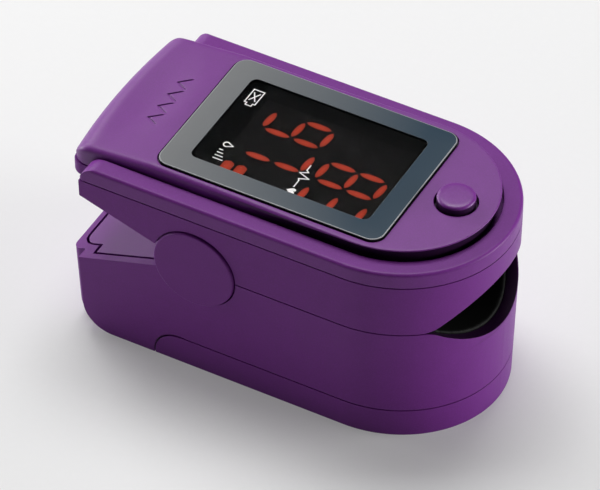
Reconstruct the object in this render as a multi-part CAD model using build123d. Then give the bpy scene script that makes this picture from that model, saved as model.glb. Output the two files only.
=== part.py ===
"""Fingertip pulse oximeter: a sprung two-jaw clip with a display, built as separate pieces.

Millimetres, +Z up. The origin is the middle of the bounding box at the resting face. +X points
to the open end where the finger goes in, and the press tab is at -X. The jaws turn about one
axis along Y.
"""
import os
from math import atan, cos, degrees, hypot, pi, sin, sqrt

from build123d import *

os.makedirs("parts", exist_ok=True)

# --- driving dimensions: plan ----------------------------------------------------------------
HALF_WIDTH = 15.5            # both jaws, side to middle plane
NOSE_CENTRE_X = 12.45        # the open end is half an ellipse about this point
NOSE_LENGTH = 16.2           # its semi-axis along X
UPPER_BACK_X = -26.05        # end of the upper jaw's full-width stretch, at the rim seam
LOWER_BACK_X = -27.0         # the lower jaw's, carried up to the same level
TAIL_BACK_X = -29.07         # end of the lower jaw's narrower tail, carried up likewise
TAIL_HALF_WIDTH = 13.68
TAIL_CORNER_RADIUS = 1.3
CORNER_RADIUS = 0.6

# --- driving dimensions: heights ---------------------------------------------------------------
Z_COVER_SEAM = 4.54          # battery cover to lower housing
Z_PARTING = 18.6             # where the closed jaws meet; the hinge axis is at this height
Z_RIM_SEAM = 26.8            # upper housing to rim
Z_RIM_TOP = 29.15
Z_FASCIA = 30.75             # top of the raised fascia
Z_GLASS = 31.05              # top of the display window
Z_BUTTON = 31.9
PARTING_GAP = 0.16
SEAM_GAP = 0.16

# --- walls, draft and clearances ----------------------------------------------------------------
WALL = 1.6
FLOOR = 1.3
PLATE = 1.2                  # inner plates and the fascia's skin
SIDE_DRAFT = 0.047           # the lower jaw's sides lean in by this per unit of depth
END_DRAFT = 0.026            # both jaws' ends lean in by this, from the rim seam downwards
FIT_GAP = 0.15               # between neighbouring mouldings
BONE_GAP = 0.05              # between pieces that lie against each other

# --- lower jaw's back ---------------------------------------------------------------------------
BLOCK_HEEL_RADIUS = 4.2
TAIL_HEEL_RADIUS = 4.0
PLATE_HALF_WIDTH = 13.86     # the tray's visible back plate, and its narrower end
PLATE_TAIL_HALF_WIDTH = 12.13
PLATE_STEP_X = -24.63
PLATE_BACK_X = -27.5
PLATE_CORNER_RADIUS = 1.7
PLATE_GROOVE = 0.35          # round the plate

# --- hinge ---------------------------------------------------------------------------------------
HINGE_X = -9.0
LOWER_SLOPE = 0.337          # fall of the lower jaw's back face per unit towards -X
UPPER_SLOPE = 0.320          # rise of the upper jaw's back face
CAP_RADIUS = 5.9
CAP_PROUD = 0.3
CAP_THICKNESS = 0.8
CAP_RECESS_RADIUS = 6.1
EAR_RADIUS = 5.8
LUG_RADIUS = 5.3
LUG_INNER_Y = 12.3
LUG_OUTER_Y = 13.75
EAR_OUTER_Y = 14.9
PIN_RADIUS = 1.5
PIN_RUNNING_CLEARANCE = 0.06
PIN_INNER_Y = 8.4
PIN_OUTER_Y = 15.25

# --- finger opening: a lens between two arcs ---------------------------------------------------
LENS_RADIUS = 16.0
LENS_DEPTH = 4.75            # from the parting to the bottom (or top) of the shell's opening
LENS_CORNER_RADIUS = 2.5     # where the opening meets the parting plane
PAD_RAISE = 0.4              # how far a pad's face stands inside the shell's opening
PAD_THICKNESS = 1.15
TRAY_THICKNESS = 0.8
TUNNEL_END_X = -2.2          # the finger stops here
SENSOR_X = 6.0

# --- battery cells (size AAA) -------------------------------------------------------------------
CELL_RADIUS = 5.1
CELL_LENGTH = 44.0
CELL_NUB_RADIUS = 1.9
CELL_NUB_LENGTH = 1.0
CELL_Y = 5.4
CELL_Z = 7.0
CELL_FRONT_X = 20.8
CELL_BACK_X = CELL_FRONT_X - CELL_LENGTH
FRONT_CONTACT_X = 23.6
REAR_CONTACT_X = -25.6
CONTACT_THICKNESS = 0.3

# --- display, button and circuit board ------------------------------------------------------------
GLASS_BACK_X = -16.95
GLASS_FRONT_X = 15.65
GLASS_HALF_WIDTH = 11.53
GLASS_THICKNESS = 0.9
GLASS_CORNER = 1.8
GLASS_GAP = 0.3
FASCIA_HALF_WIDTH = 12.67
FASCIA_NOSE_INSET = 2.83
FASCIA_CORNER = 1.5
FASCIA_EDGE_RADIUS = 0.35
Z_FASCIA_SEAT = 27.5
GROOVE_WIDTH = 0.25          # between the fascia and the rim
RIM_SEAT_WIDTH = 4.2         # how far the rim's ledge reaches in under the fascia
FASCIA_BACK_X = -29.6
FASCIA_BULGE_RADIUS = 90.0   # the press tab's end is a shallow arc in plan
FASCIA_ROLL_RADIUS = 3.4     # and rolls down in side view
TAB_CREASE_X = -18.0         # behind this the press tab falls away
TAB_SLOPE = 0.095            # by this per unit towards -X
RIM_EDGE_RADIUS = 0.45
RIM_HEEL_RADIUS = 2.7        # the rails' back ends, in side view
LIP_BOTTOM_Z = 24.3          # underside of the housing's tail, below the press tab
LIP_HEEL_RADIUS = 0.9
BUTTON_X = 20.6
BUTTON_Y = 0.4
BUTTON_RADIUS = 2.55
BUTTON_HOLE_RADIUS = 2.91
BUTTON_FLANGE_RADIUS = 3.5
BOARD_BOTTOM_Z = 26.0
BOARD_THICKNESS = 0.8
BOARD_TOP_Z = BOARD_BOTTOM_Z + BOARD_THICKNESS
BOARD_HALF_WIDTH = 10.9
SWITCH_BODY = (5.2, 5.2, 1.4)
PLUNGER_RADIUS = 1.2
PLUNGER_TOP_Z = 28.75

# --- screws ------------------------------------------------------------------------------------
SCREW_RADIUS = 0.7
SCREW_HOLE_RADIUS = 0.75
SCREW_HEAD_RADIUS = 1.3
SCREW_HEAD_HEIGHT = 0.9
BOSS_RADIUS = 1.5
LOWER_SCREW_PLACES = [(x, side * 12.1) for x in (-5.5, 10.0) for side in (-1, 1)]
UPPER_REAR_SCREWS = [(-21.0, side * 10.4) for side in (-1, 1)]
UPPER_FRONT_SCREWS = [(21.2, side * 6.4) for side in (-1, 1)]

BOSS_Z = (8.2, 12.2)         # the lower housing's screw bosses
POST_Z = (12.35, 17.9)       # the lower tray's posts over them
UPPER_BOSS_TOP_Z = 25.9
UPPER_HEAD_SEAT_Z = 23.6
FRONT_POST_FLOOR_Z = 23.0
FRONT_HEAD_SEAT_Z = 24.6
FASCIA_BOSS_RADIUS = 1.25
FASCIA_BOSS_Z = (26.85, 25.95)       # bottoms of the front and rear bosses
FASCIA_SCREW_TOP_Z = 29.4

# --- ribs and ledges in the battery bay -------------------------------------------------------------
LEDGE_X = (-20.0, 18.0)
LEDGE_Y = 12.0
LEDGE_HALF_WIDTH = 1.5
LEDGE_Z = (8.2, 9.4)
RIB_Z = (5.2, 10.0)
RIB_HALF_WIDTH = 0.6
FRONT_RIB_Y = 3.6
TONGUE_HALF_LENGTH = 9.0     # the battery cover's side tongues
TONGUE_Y = 12.75
TONGUE_HALF_THICKNESS = 0.35
GRIP_PITCH = 1.6             # grooves that a thumb pushes on
GRIP_FIRST_X = -7.0
GRIP_COUNT = 5
GRIP_HALF_WIDTH = 0.35
GRIP_DEPTH = 0.35
GRIP_HALF_LENGTH = 5.0
CONTACT_HALF_WIDTH = 3.6
CONTACT_Z = (4.9, 10.4)
CONTACT_DIMPLE_RADII = (2.2, 1.4)

# --- sensor: heights of its pieces, from bottom to top ----------------------------------------------
SENSOR_BOARD_Z = (11.85, 12.3)
PHOTODIODE_Z = (12.35, 13.2)
SENSOR_WINDOW_Z = (13.25, 14.3)
EMITTER_WINDOW_Z = (22.95, 24.4)
EMITTER_BOTTOM_Z = 24.5
SENSOR_DIE_HALF = 1.5
SENSOR_BOARD_HALF = (2.8, 1.8)
SENSOR_WINDOW_HALF = (2.1, 1.7)
SENSOR_WINDOW_CORNER = 0.5

# --- springs --------------------------------------------------------------------------------------
TORSION_FIRST_Y = 9.0
TORSION_COIL_RADIUS = 2.2
TORSION_WIRE_RADIUS = 0.28
TORSION_PITCH = 0.72
TORSION_FULL_TURNS = 3
TORSION_LEG = 7.0
CONTACT_SPRING_WIRE = 0.3

# --- worked-out levels -----------------------------------------------------------------------------
FRONT_X = NOSE_CENTRE_X + NOSE_LENGTH
LOWER_TOP_Z = Z_PARTING - PARTING_GAP / 2
UPPER_BOTTOM_Z = Z_PARTING + PARTING_GAP / 2
LOWER_LENS_Z = Z_PARTING - LENS_DEPTH + LENS_RADIUS      # centre of the lower arc
UPPER_LENS_Z = Z_PARTING + LENS_DEPTH - LENS_RADIUS      # centre of the upper arc
PAD_FACE_RADIUS = LENS_RADIUS - PAD_RAISE
PAD_BACK_RADIUS = PAD_FACE_RADIUS + PAD_THICKNESS
TRAY_FACE_RADIUS = PAD_BACK_RADIUS + BONE_GAP
TRAY_BACK_RADIUS = TRAY_FACE_RADIUS + TRAY_THICKNESS
FAR = 60.0                                               # beyond every face of the object


# --- helpers ------------------------------------------------------------------------------------
def slab(x0, x1, y0, y1, z0, z1):
    """A box between two corners."""
    middle = Pos((x0 + x1) / 2, (y0 + y1) / 2, (z0 + z1) / 2)
    return middle * Box(x1 - x0, y1 - y0, z1 - z0)


def z_round(radius, x, y, z0, z1):
    """A cylinder along Z."""
    return Pos(x, y, (z0 + z1) / 2) * Cylinder(radius, z1 - z0)


def y_round(radius, y0, y1, x, z):
    """A cylinder along Y."""
    return Pos(x, (y0 + y1) / 2, z) * Rot(90, 0, 0) * Cylinder(radius, y1 - y0)


def x_round(radius, x0, x1, y, z):
    """A cylinder along X."""
    return Pos((x0 + x1) / 2, y, z) * Rot(0, 90, 0) * Cylinder(radius, x1 - x0)


def both_sides(make):
    """The same feature at +Y and -Y."""
    return make(1) + make(-1)


def y_disc(radius, inner_y, outer_y, side):
    """A disc about the hinge axis on one side, between two distances from the middle plane."""
    low_y, high_y = sorted((side * inner_y, side * outer_y))
    return y_round(radius, low_y, high_y, HINGE_X, Z_PARTING)


def side_prism(points, half_width):
    """An XZ outline drawn out to both sides of the middle plane."""
    outline = make_face(Polyline([(x, 0, z) for x, z in points], close=True))
    return extrude(outline, half_width, dir=(0, 1, 0), both=True)


def end_lean(z):
    """How far a jaw's ends have leaned in at a level below the rim seam."""
    return END_DRAFT * max(Z_RIM_SEAM - z, 0.0)


def block_plan(inset, z, back_x, lean):
    """Full-width stretch and nose of a jaw in plan: sides moved in by inset plus lean."""
    back = back_x + inset + end_lean(z)
    half = HALF_WIDTH - inset - lean
    nose = Pos(NOSE_CENTRE_X, 0, z) * Ellipse(NOSE_LENGTH - inset - end_lean(z), half)
    block = Pos((back + NOSE_CENTRE_X) / 2, 0, z) * Rectangle(NOSE_CENTRE_X - back, 2 * half)
    return nose + block


def upper_plan(inset, z, lean=0.0):
    return block_plan(inset, z, UPPER_BACK_X, lean)


def lower_plan(inset, z, lean=0.0):
    return block_plan(inset, z, LOWER_BACK_X, lean)


def tail_plan(inset, z, lean=0.0):
    """The lower jaw's narrower tail, with rounded corners."""
    back = TAIL_BACK_X + inset + end_lean(z)
    length = 20.0
    strip = Pos(back + length / 2, 0, z) * Rectangle(length, 2 * (TAIL_HALF_WIDTH - inset - lean))
    corners = [v for v in strip.vertices() if v.X < back + 1]
    return fillet(corners, max(TAIL_CORNER_RADIUS - inset, CORNER_RADIUS))


def drafted(plan, z0, z1, inset, side_draft=0.0):
    """A plan drawn between two levels, leaning in downwards."""
    low = plan(inset, z0, side_draft * (Z_PARTING - z0))
    high = plan(inset, z1, side_draft * (Z_PARTING - z1))
    return loft([low, high], ruled=True)


def upright(plan, z0, z1, inset):
    """A plan drawn straight up between two levels."""
    return extrude(plan(inset, z0), z1 - z0)


def soften(solid, edges, radius):
    """Round the given edges of a solid."""
    return fillet(edges, radius) if edges else solid


def upright_edges(solid, x_limit):
    """The edges that run up the solid's back corners."""
    return [e for e in solid.edges() if e.geom_type == GeomType.LINE
            and abs(e.tangent_at(0.5).Z) > 0.9 and e.center().X < x_limit]


def lower_slope_z(x, depth=0.0):
    """Height of the lower jaw's sloped back face, or of a face that much deeper."""
    drop = depth * hypot(1, LOWER_SLOPE)
    return LOWER_TOP_Z + LOWER_SLOPE * (x - HINGE_X) - drop


def upper_slope_z(x, depth=0.0):
    """Height of the upper jaw's sloped underside, or of a face that much further in."""
    rise = depth * hypot(1, UPPER_SLOPE)
    return UPPER_BOTTOM_Z + UPPER_SLOPE * (HINGE_X - x) + rise


def above_lower_slope(depth=0.0):
    """Everything over the lower back face, from the hinge backwards."""
    flat_z = LOWER_TOP_Z - depth
    turn_x = HINGE_X + (flat_z - lower_slope_z(HINGE_X, depth)) / LOWER_SLOPE
    points = [(turn_x, flat_z), (-FAR, lower_slope_z(-FAR, depth)), (-FAR, FAR), (turn_x, FAR)]
    return side_prism(points, FAR)


def below_upper_slope(depth=0.0):
    """Everything under the upper back face, from the hinge backwards."""
    flat_z = UPPER_BOTTOM_Z + depth
    turn_x = HINGE_X + (upper_slope_z(HINGE_X, depth) - flat_z) / UPPER_SLOPE
    points = [(turn_x, flat_z), (-FAR, upper_slope_z(-FAR, depth)), (-FAR, -FAR), (turn_x, -FAR)]
    return side_prism(points, FAR)


def rounded_heel(plan_solid, back_x, radius, inset=0.0):
    """Round the bottom back edge of the lower jaw, in side view."""
    centre_x = back_x + end_lean(radius) + radius
    corner = slab(-FAR, centre_x, -FAR, FAR, -FAR, radius)
    keep = y_round(radius - inset, -FAR, FAR, centre_x, radius)
    return plan_solid - (corner - keep)


def cover_zone(gap):
    """The lower jaw's bottom front, where the battery cover is."""
    radius = 4.0
    start_x = -15.65
    top = Z_COVER_SEAM - gap
    rise_z = top - radius
    centre_x = start_x + radius
    front = slab(centre_x, FAR, -FAR, FAR, -FAR, top)
    skirt = slab(start_x + gap, centre_x, -FAR, FAR, -FAR, rise_z)
    corner = y_round(radius - gap, -FAR, FAR, centre_x, rise_z)
    return front + skirt + corner


def helix_wire(radius, pitch, height, wire_radius, centre, lefthand=False):
    """A round-wire coil along Z from centre."""
    path = centre * Helix(pitch, height, radius, lefthand=lefthand)
    section = Plane(origin=path @ 0, z_dir=path % 0) * Circle(wire_radius)
    return sweep(section, path=path, is_frenet=True)


def screw(x, y, head_z, tip_z):
    """A pan-head screw between its head's face and its tip, with a cross recess."""
    up = 1 if tip_z > head_z else -1
    shoulder = head_z + up * SCREW_HEAD_HEIGHT
    head = z_round(SCREW_HEAD_RADIUS, x, y, min(head_z, shoulder), max(head_z, shoulder))
    shank = z_round(SCREW_RADIUS, x, y, min(shoulder, tip_z), max(shoulder, tip_z))
    slot_z = head_z + up * SCREW_HEAD_HEIGHT / 4
    cross = Pos(x, y, slot_z) * (Box(1.6, 0.3, SCREW_HEAD_HEIGHT / 2) +
                                 Box(0.3, 1.6, SCREW_HEAD_HEIGHT / 2))
    return head + shank - cross


# --- lower jaw -------------------------------------------------------------------------------------
def lower_outer():
    block = drafted(lower_plan, 0.0, LOWER_TOP_Z, 0.0, SIDE_DRAFT)
    block = soften(block, upright_edges(block, LOWER_BACK_X + 2), CORNER_RADIUS)
    tail = drafted(tail_plan, 0.0, LOWER_TOP_Z, 0.0, SIDE_DRAFT)
    return rounded_heel(block, LOWER_BACK_X, BLOCK_HEEL_RADIUS) + rounded_heel(
        tail, TAIL_BACK_X, TAIL_HEEL_RADIUS)


def lower_inner():
    block = drafted(lower_plan, FLOOR, LOWER_TOP_Z, WALL, SIDE_DRAFT)
    tail = drafted(tail_plan, FLOOR, LOWER_TOP_Z, WALL, SIDE_DRAFT)
    return rounded_heel(block, LOWER_BACK_X, BLOCK_HEEL_RADIUS, WALL) + rounded_heel(
        tail, TAIL_BACK_X, TAIL_HEEL_RADIUS, WALL)


def tray_plate_plan(gap=0.0):
    """Plan of the lower tray's visible back plate, which steps in at the tail."""
    step_x = PLATE_STEP_X - gap
    back_x = PLATE_BACK_X - gap
    front_x = -4.4
    broad = Pos((step_x + front_x) / 2, 0, 0) * Rectangle(
        front_x - step_x, 2 * (PLATE_HALF_WIDTH + gap))
    end = Pos((back_x + front_x) / 2, 0, 0) * Rectangle(
        front_x - back_x, 2 * (PLATE_TAIL_HALF_WIDTH + gap))
    end = fillet(end.vertices().filter_by(lambda v: v.X < step_x), PLATE_CORNER_RADIUS + gap)
    return broad + end


def ear_room(inner_y):
    """Room in the lower jaw for the upper jaw's ears and the pivot caps."""
    return both_sides(lambda side: y_disc(CAP_RECESS_RADIUS, inner_y, FAR, side))


def lug_room():
    """Room in the upper jaw for the lower jaw's hinge lugs."""
    return both_sides(lambda side: y_disc(LUG_RADIUS + 0.3, LUG_INNER_Y - 0.25,
                                          HALF_WIDTH - WALL, side))


def lower_housing():
    shell = lower_outer() - lower_inner()
    shell += both_sides(lambda side: cell_ledges(side)) & lower_outer()
    shell += both_sides(lambda side: contact_ribs(side)) & lower_outer()
    for x, y in LOWER_SCREW_PLACES:
        shell += z_round(BOSS_RADIUS, x, y, *BOSS_Z) & lower_outer()
        shell -= z_round(SCREW_HOLE_RADIUS, x, y, BOSS_Z[0] - 0.2, BOSS_Z[1] + 0.2)
    for side in (-1, 1):
        shell -= x_round(CELL_RADIUS + FIT_GAP, CELL_BACK_X - 0.4, CELL_FRONT_X + 0.4,
                         side * CELL_Y, CELL_Z)
    shell -= above_lower_slope()
    plate_room = extrude(tray_plate_plan(PLATE_GROOVE), FAR) & above_lower_slope(PLATE + FIT_GAP)
    shell -= plate_room
    shell -= ear_room(LUG_OUTER_Y - 0.15)
    shell -= lens_opening(LOWER_LENS_Z, -1)
    return shell - cover_zone(-SEAM_GAP / 2)


def lens_opening(centre_z, down):
    """Cutter for one jaw's half of the finger opening, with its corners rounded over."""
    level = Z_PARTING + down * PARTING_GAP / 2
    reach = LENS_RADIUS + LENS_CORNER_RADIUS
    corner_z = level + down * LENS_CORNER_RADIUS
    corner_y = sqrt(reach ** 2 - (corner_z - centre_z) ** 2)
    touch_y = corner_y * LENS_RADIUS / reach
    touch_z = centre_z + (corner_z - centre_z) * LENS_RADIUS / reach
    beyond = level - down
    outline = make_face(Polyline(
        [(touch_y, touch_z), (corner_y, corner_z), (corner_y, beyond), (touch_y, beyond)],
        close=True))
    flare = extrude(Plane.YZ * Pos(0, 0, 14.0) * outline, FAR)
    both = flare + mirror(flare, Plane.XZ)
    for side in (-1, 1):
        both -= x_round(LENS_CORNER_RADIUS, 0, FAR, side * corner_y, corner_z)
    return both + x_round(LENS_RADIUS, 14.0, FAR, 0, centre_z)


def cell_ledges(side):
    """Side ledges that the battery cells lie between."""
    middle_y = side * LEDGE_Y
    return slab(*LEDGE_X, middle_y - LEDGE_HALF_WIDTH, middle_y + LEDGE_HALF_WIDTH, *LEDGE_Z)


def contact_ribs(side):
    """Ribs that back the battery contacts at both ends of the bay."""
    front_y = side * FRONT_RIB_Y
    rear_y = side * CELL_Y
    front = slab(FRONT_CONTACT_X + CONTACT_THICKNESS + BONE_GAP, FRONT_X,
                 front_y - RIB_HALF_WIDTH, front_y + RIB_HALF_WIDTH, *RIB_Z)
    rear = slab(TAIL_BACK_X, REAR_CONTACT_X - CONTACT_THICKNESS - BONE_GAP,
                rear_y - RIB_HALF_WIDTH, rear_y + RIB_HALF_WIDTH, *RIB_Z)
    return front + rear


def battery_cover():
    cover = (lower_outer() - lower_inner()) & cover_zone(SEAM_GAP / 2)
    for side in (-1, 1):
        tongue_y = side * TONGUE_Y
        cover += slab(-TONGUE_HALF_LENGTH, TONGUE_HALF_LENGTH, tongue_y - TONGUE_HALF_THICKNESS,
                      tongue_y + TONGUE_HALF_THICKNESS, FLOOR - 0.3, Z_COVER_SEAM - SEAM_GAP)
    for row in range(GRIP_COUNT):
        groove_x = GRIP_FIRST_X + GRIP_PITCH * row
        cover -= slab(groove_x - GRIP_HALF_WIDTH, groove_x + GRIP_HALF_WIDTH, -GRIP_HALF_LENGTH,
                      GRIP_HALF_LENGTH, -1.0, GRIP_DEPTH)
    for side in (-1, 1):
        cover -= x_round(CELL_RADIUS + FIT_GAP, CELL_BACK_X - 0.4, CELL_FRONT_X + 0.4,
                         side * CELL_Y, CELL_Z)
    return cover


def lens_band(inner_radius, outer_radius, centre_z, x0):
    """Part of a tube along X, as deep as one jaw."""
    band = x_round(outer_radius, x0, FAR, 0, centre_z) - x_round(inner_radius, x0 - 1, FAR + 1,
                                                                 0, centre_z)
    return band


def sensor_room(z0, z1, half_x, half_y):
    """The window through a tray or pad at the sensor."""
    return slab(SENSOR_X - half_x, SENSOR_X + half_x, -half_y, half_y, z0, z1)


def spring_pocket(side, room):
    """Room around one torsion spring's coil and legs."""
    inner_y = PIN_INNER_Y - 0.2
    reach = TORSION_COIL_RADIUS + room
    pocket = y_disc(reach, inner_y, LUG_INNER_Y, side)
    low_y = min(side * inner_y, side * LUG_INNER_Y)
    high_y = max(side * inner_y, side * LUG_INNER_Y)
    for tilt, low, high in ((atan(UPPER_SLOPE), 0, reach), (-atan(LOWER_SLOPE), -reach, 0)):
        leg_room = slab(-TORSION_LEG - 1.0, 0, low_y, high_y, low, high)
        pocket += Pos(HINGE_X, 0, Z_PARTING) * Rot(0, degrees(tilt), 0) * leg_room
    return pocket


def flex_slot():
    """Slot through both jaws beside the hinge axis for the flexible circuit."""
    return slab(-8.2, -6.2, -2.2, 2.2, 8.0, FAR)


def lower_tray():
    trough = lens_band(TRAY_FACE_RADIUS, TRAY_BACK_RADIUS, LOWER_LENS_Z, TUNNEL_END_X - 2.2)
    stop = x_round(TRAY_BACK_RADIUS, TUNNEL_END_X - 2.2, TUNNEL_END_X - 1.2, 0, LOWER_LENS_Z)
    inside = drafted(lower_plan, 8.0, LOWER_TOP_Z, WALL + BONE_GAP, SIDE_DRAFT)
    tray = (trough + stop) & inside
    plate = extrude(tray_plate_plan(), LOWER_TOP_Z) & slab(-FAR, -4.3, -FAR, FAR, 0, FAR)
    plate = plate & above_lower_slope(PLATE)
    tray += plate - above_lower_slope()
    lugs = both_sides(lambda side: y_disc(LUG_RADIUS, LUG_INNER_Y, LUG_OUTER_Y, side))
    tray += lugs
    for x, y in LOWER_SCREW_PLACES:
        post = z_round(BOSS_RADIUS - 0.2, x, y, *POST_Z)
        tray += post - x_round(TRAY_FACE_RADIUS, -FAR, FAR, 0, LOWER_LENS_Z)
        tray -= z_round(SCREW_HOLE_RADIUS, x, y, 12.0, 16.0)
    tray -= ear_room(LUG_OUTER_Y + 0.05)
    tray -= both_sides(lambda side: spring_pocket(side, 0.8))
    tray -= both_sides(lambda side: y_disc(PIN_RADIUS, 0.5, FAR, side))
    tray -= sensor_room(8.0, 16.0, 3.0, 2.0)
    return tray - flex_slot()


def lower_finger_pad():
    pad = lens_band(PAD_FACE_RADIUS, PAD_BACK_RADIUS, LOWER_LENS_Z, TUNNEL_END_X - 1.15)
    pad += x_round(PAD_BACK_RADIUS, TUNNEL_END_X - 1.15, TUNNEL_END_X, 0, LOWER_LENS_Z)
    inside = drafted(lower_plan, 8.0, LOWER_TOP_Z - BONE_GAP, WALL + BONE_GAP, SIDE_DRAFT)
    return (pad & inside) - sensor_room(8.0, 18.0, 2.2, 1.8)


def battery(side):
    """One cell: +Y's nub points back, -Y's nub points to the front."""
    nub_at_front = side < 0
    body_back = CELL_BACK_X if nub_at_front else CELL_BACK_X + CELL_NUB_LENGTH
    body_front = body_back + CELL_LENGTH - CELL_NUB_LENGTH
    y = side * CELL_Y
    body = x_round(CELL_RADIUS, body_back, body_front, y, CELL_Z)
    rims = body.edges().filter_by(GeomType.CIRCLE)
    body = fillet(rims, 0.35)
    nub_back = body_front if nub_at_front else CELL_BACK_X
    return body + x_round(CELL_NUB_RADIUS, nub_back, nub_back + CELL_NUB_LENGTH, y, CELL_Z)


def contact_spring(y, x_cell, x_plate):
    """A battery spring between a cell's flat end and its contact plate."""
    gap = abs(x_plate - x_cell) - 2 * CONTACT_SPRING_WIRE - 0.1
    start = min(x_plate, x_cell) + CONTACT_SPRING_WIRE + 0.05
    place = Pos(start, y, CELL_Z) * Rot(0, 90, 0)
    return helix_wire(2.3, gap / 3, gap, CONTACT_SPRING_WIRE, place)


def battery_springs():
    front = contact_spring(CELL_Y, CELL_FRONT_X, FRONT_CONTACT_X)
    rear = contact_spring(-CELL_Y, CELL_BACK_X, REAR_CONTACT_X)
    return [front, rear]


def contact_dimple(x0, x1, y):
    """The pressed cone of a contact plate, which meets a cell's nub."""
    large, small = CONTACT_DIMPLE_RADII
    turn = Rot(0, 90, 0) if x1 > x0 else Rot(0, -90, 0)
    return Pos((x0 + x1) / 2, y, CELL_Z) * turn * Cone(large, small, abs(x1 - x0))


def front_contact():
    half_width = CELL_Y + 2.0
    plate = slab(FRONT_CONTACT_X, FRONT_CONTACT_X + CONTACT_THICKNESS, -half_width, half_width,
                 *CONTACT_Z)
    return plate + contact_dimple(FRONT_CONTACT_X, CELL_FRONT_X + BONE_GAP, -CELL_Y)


def rear_contacts():
    plates = []
    for side in (-1, 1):
        plate = slab(REAR_CONTACT_X - CONTACT_THICKNESS, REAR_CONTACT_X,
                     side * CELL_Y - CONTACT_HALF_WIDTH, side * CELL_Y + CONTACT_HALF_WIDTH,
                     *CONTACT_Z)
        if side > 0:
            plate += contact_dimple(REAR_CONTACT_X, CELL_BACK_X - BONE_GAP, CELL_Y)
        plates.append(plate)
    return plates


def sensor_board():
    half_x, half_y = SENSOR_BOARD_HALF
    return slab(SENSOR_X - half_x, SENSOR_X + half_x, -half_y, half_y, *SENSOR_BOARD_Z)


def photodiode():
    return sensor_die(*PHOTODIODE_Z)


def sensor_die(z0, z1):
    """The square package of the photodiode or of the light emitter."""
    return slab(SENSOR_X - SENSOR_DIE_HALF, SENSOR_X + SENSOR_DIE_HALF, -SENSOR_DIE_HALF,
                SENSOR_DIE_HALF, z0, z1)


def clear_window(z0, z1):
    """The clear block that light passes through, with rounded corners."""
    half_x, half_y = SENSOR_WINDOW_HALF
    lens = slab(SENSOR_X - half_x, SENSOR_X + half_x, -half_y, half_y, z0, z1)
    return fillet(lens.edges().filter_by(Axis.Z), SENSOR_WINDOW_CORNER)


def sensor_window():
    return clear_window(*SENSOR_WINDOW_Z)


def lower_screws():
    return [screw(x, y, 7.25, 15.4) for x, y in LOWER_SCREW_PLACES]


# --- hinge --------------------------------------------------------------------------------------------
def hinge_pins():
    return [y_disc(PIN_RADIUS, PIN_INNER_Y, PIN_OUTER_Y, side) for side in (-1, 1)]


def pivot_cap(side):
    inner = HALF_WIDTH + CAP_PROUD - CAP_THICKNESS
    cap = y_disc(CAP_RADIUS, inner, HALF_WIDTH + CAP_PROUD, side)
    outer_edge = cap.edges().filter_by(GeomType.CIRCLE).sort_by(Axis.Y)[-1 if side > 0 else 0]
    cap = fillet(outer_edge, 0.25)
    return cap - y_disc(PIN_RADIUS, inner - 1, PIN_OUTER_Y, side)


def torsion_spring(side):
    """Coil about the hinge axis, with a leg back along the inside of each jaw's sloped plate."""
    upper_tilt = atan(UPPER_SLOPE)
    lower_tilt = -atan(LOWER_SLOPE)
    bend = 180 - degrees(upper_tilt - lower_tilt)
    height = TORSION_PITCH * (TORSION_FULL_TURNS + bend / 360)
    first_y = side * TORSION_FIRST_Y
    start = Plane(origin=(HINGE_X, first_y, Z_PARTING), z_dir=(0, side, 0),
                  x_dir=(sin(upper_tilt), 0, cos(upper_tilt)))
    spring = helix_wire(TORSION_COIL_RADIUS, TORSION_PITCH, height, TORSION_WIRE_RADIUS, start,
                        lefthand=side < 0)
    for tilt, level, y in ((upper_tilt, 1, first_y), (lower_tilt, -1, first_y + side * height)):
        leg = x_round(TORSION_WIRE_RADIUS - 0.01, -TORSION_LEG, 0.1, y,
                      level * TORSION_COIL_RADIUS)
        spring += Pos(HINGE_X, 0, Z_PARTING) * Rot(0, degrees(tilt), 0) * leg
    return spring


def ribbon(points, radii, half_width):
    """A flat strip: straight runs joined by arcs in side view."""
    path = FilletPolyline([(x, 0, z) for x, z in points], radius=radii)
    thickness = 0.2
    edge = Plane(origin=path @ 0, z_dir=path % 0, x_dir=(0, 1, 0)) * Rectangle(
        2 * half_width, thickness)
    return sweep(edge, path=path)


FLEX_POINTS = [(3.4, 11.7), (-5.0, 11.7), (-7.2, 14.0), (-7.2, 21.0), (-11.0, 24.9),
               (-14.6, 24.9)]
FLEX_RADII = [1.5, 1.5, 2.0, 1.5]


def flex_cable():
    """The flexible circuit from the sensor board to the main board, past the hinge axis."""
    return ribbon(FLEX_POINTS, FLEX_RADII, 1.5)


# --- upper jaw ----------------------------------------------------------------------------------------
def upper_outer():
    top = Z_RIM_SEAM - SEAM_GAP / 2
    block = drafted(upper_plan, UPPER_BOTTOM_Z, top, 0.0)
    block = soften(block, upright_edges(block, UPPER_BACK_X + 2), CORNER_RADIUS)
    lip = upright(fascia_plan, LIP_BOTTOM_Z, top, 0.0) & slab(-FAR, 0, -FAR, FAR, 0, FAR)
    heel = [e for e in edges_at_height(lip, LIP_BOTTOM_Z)
            if e.bounding_box().max.X < UPPER_BACK_X + 1]
    return block + fillet(heel, LIP_HEEL_RADIUS)


def upper_inner():
    return upright(upper_plan, UPPER_BOTTOM_Z, FAR, WALL)


def cap_recess():
    return both_sides(lambda side: y_disc(CAP_RECESS_RADIUS, EAR_OUTER_Y, FAR, side))


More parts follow.
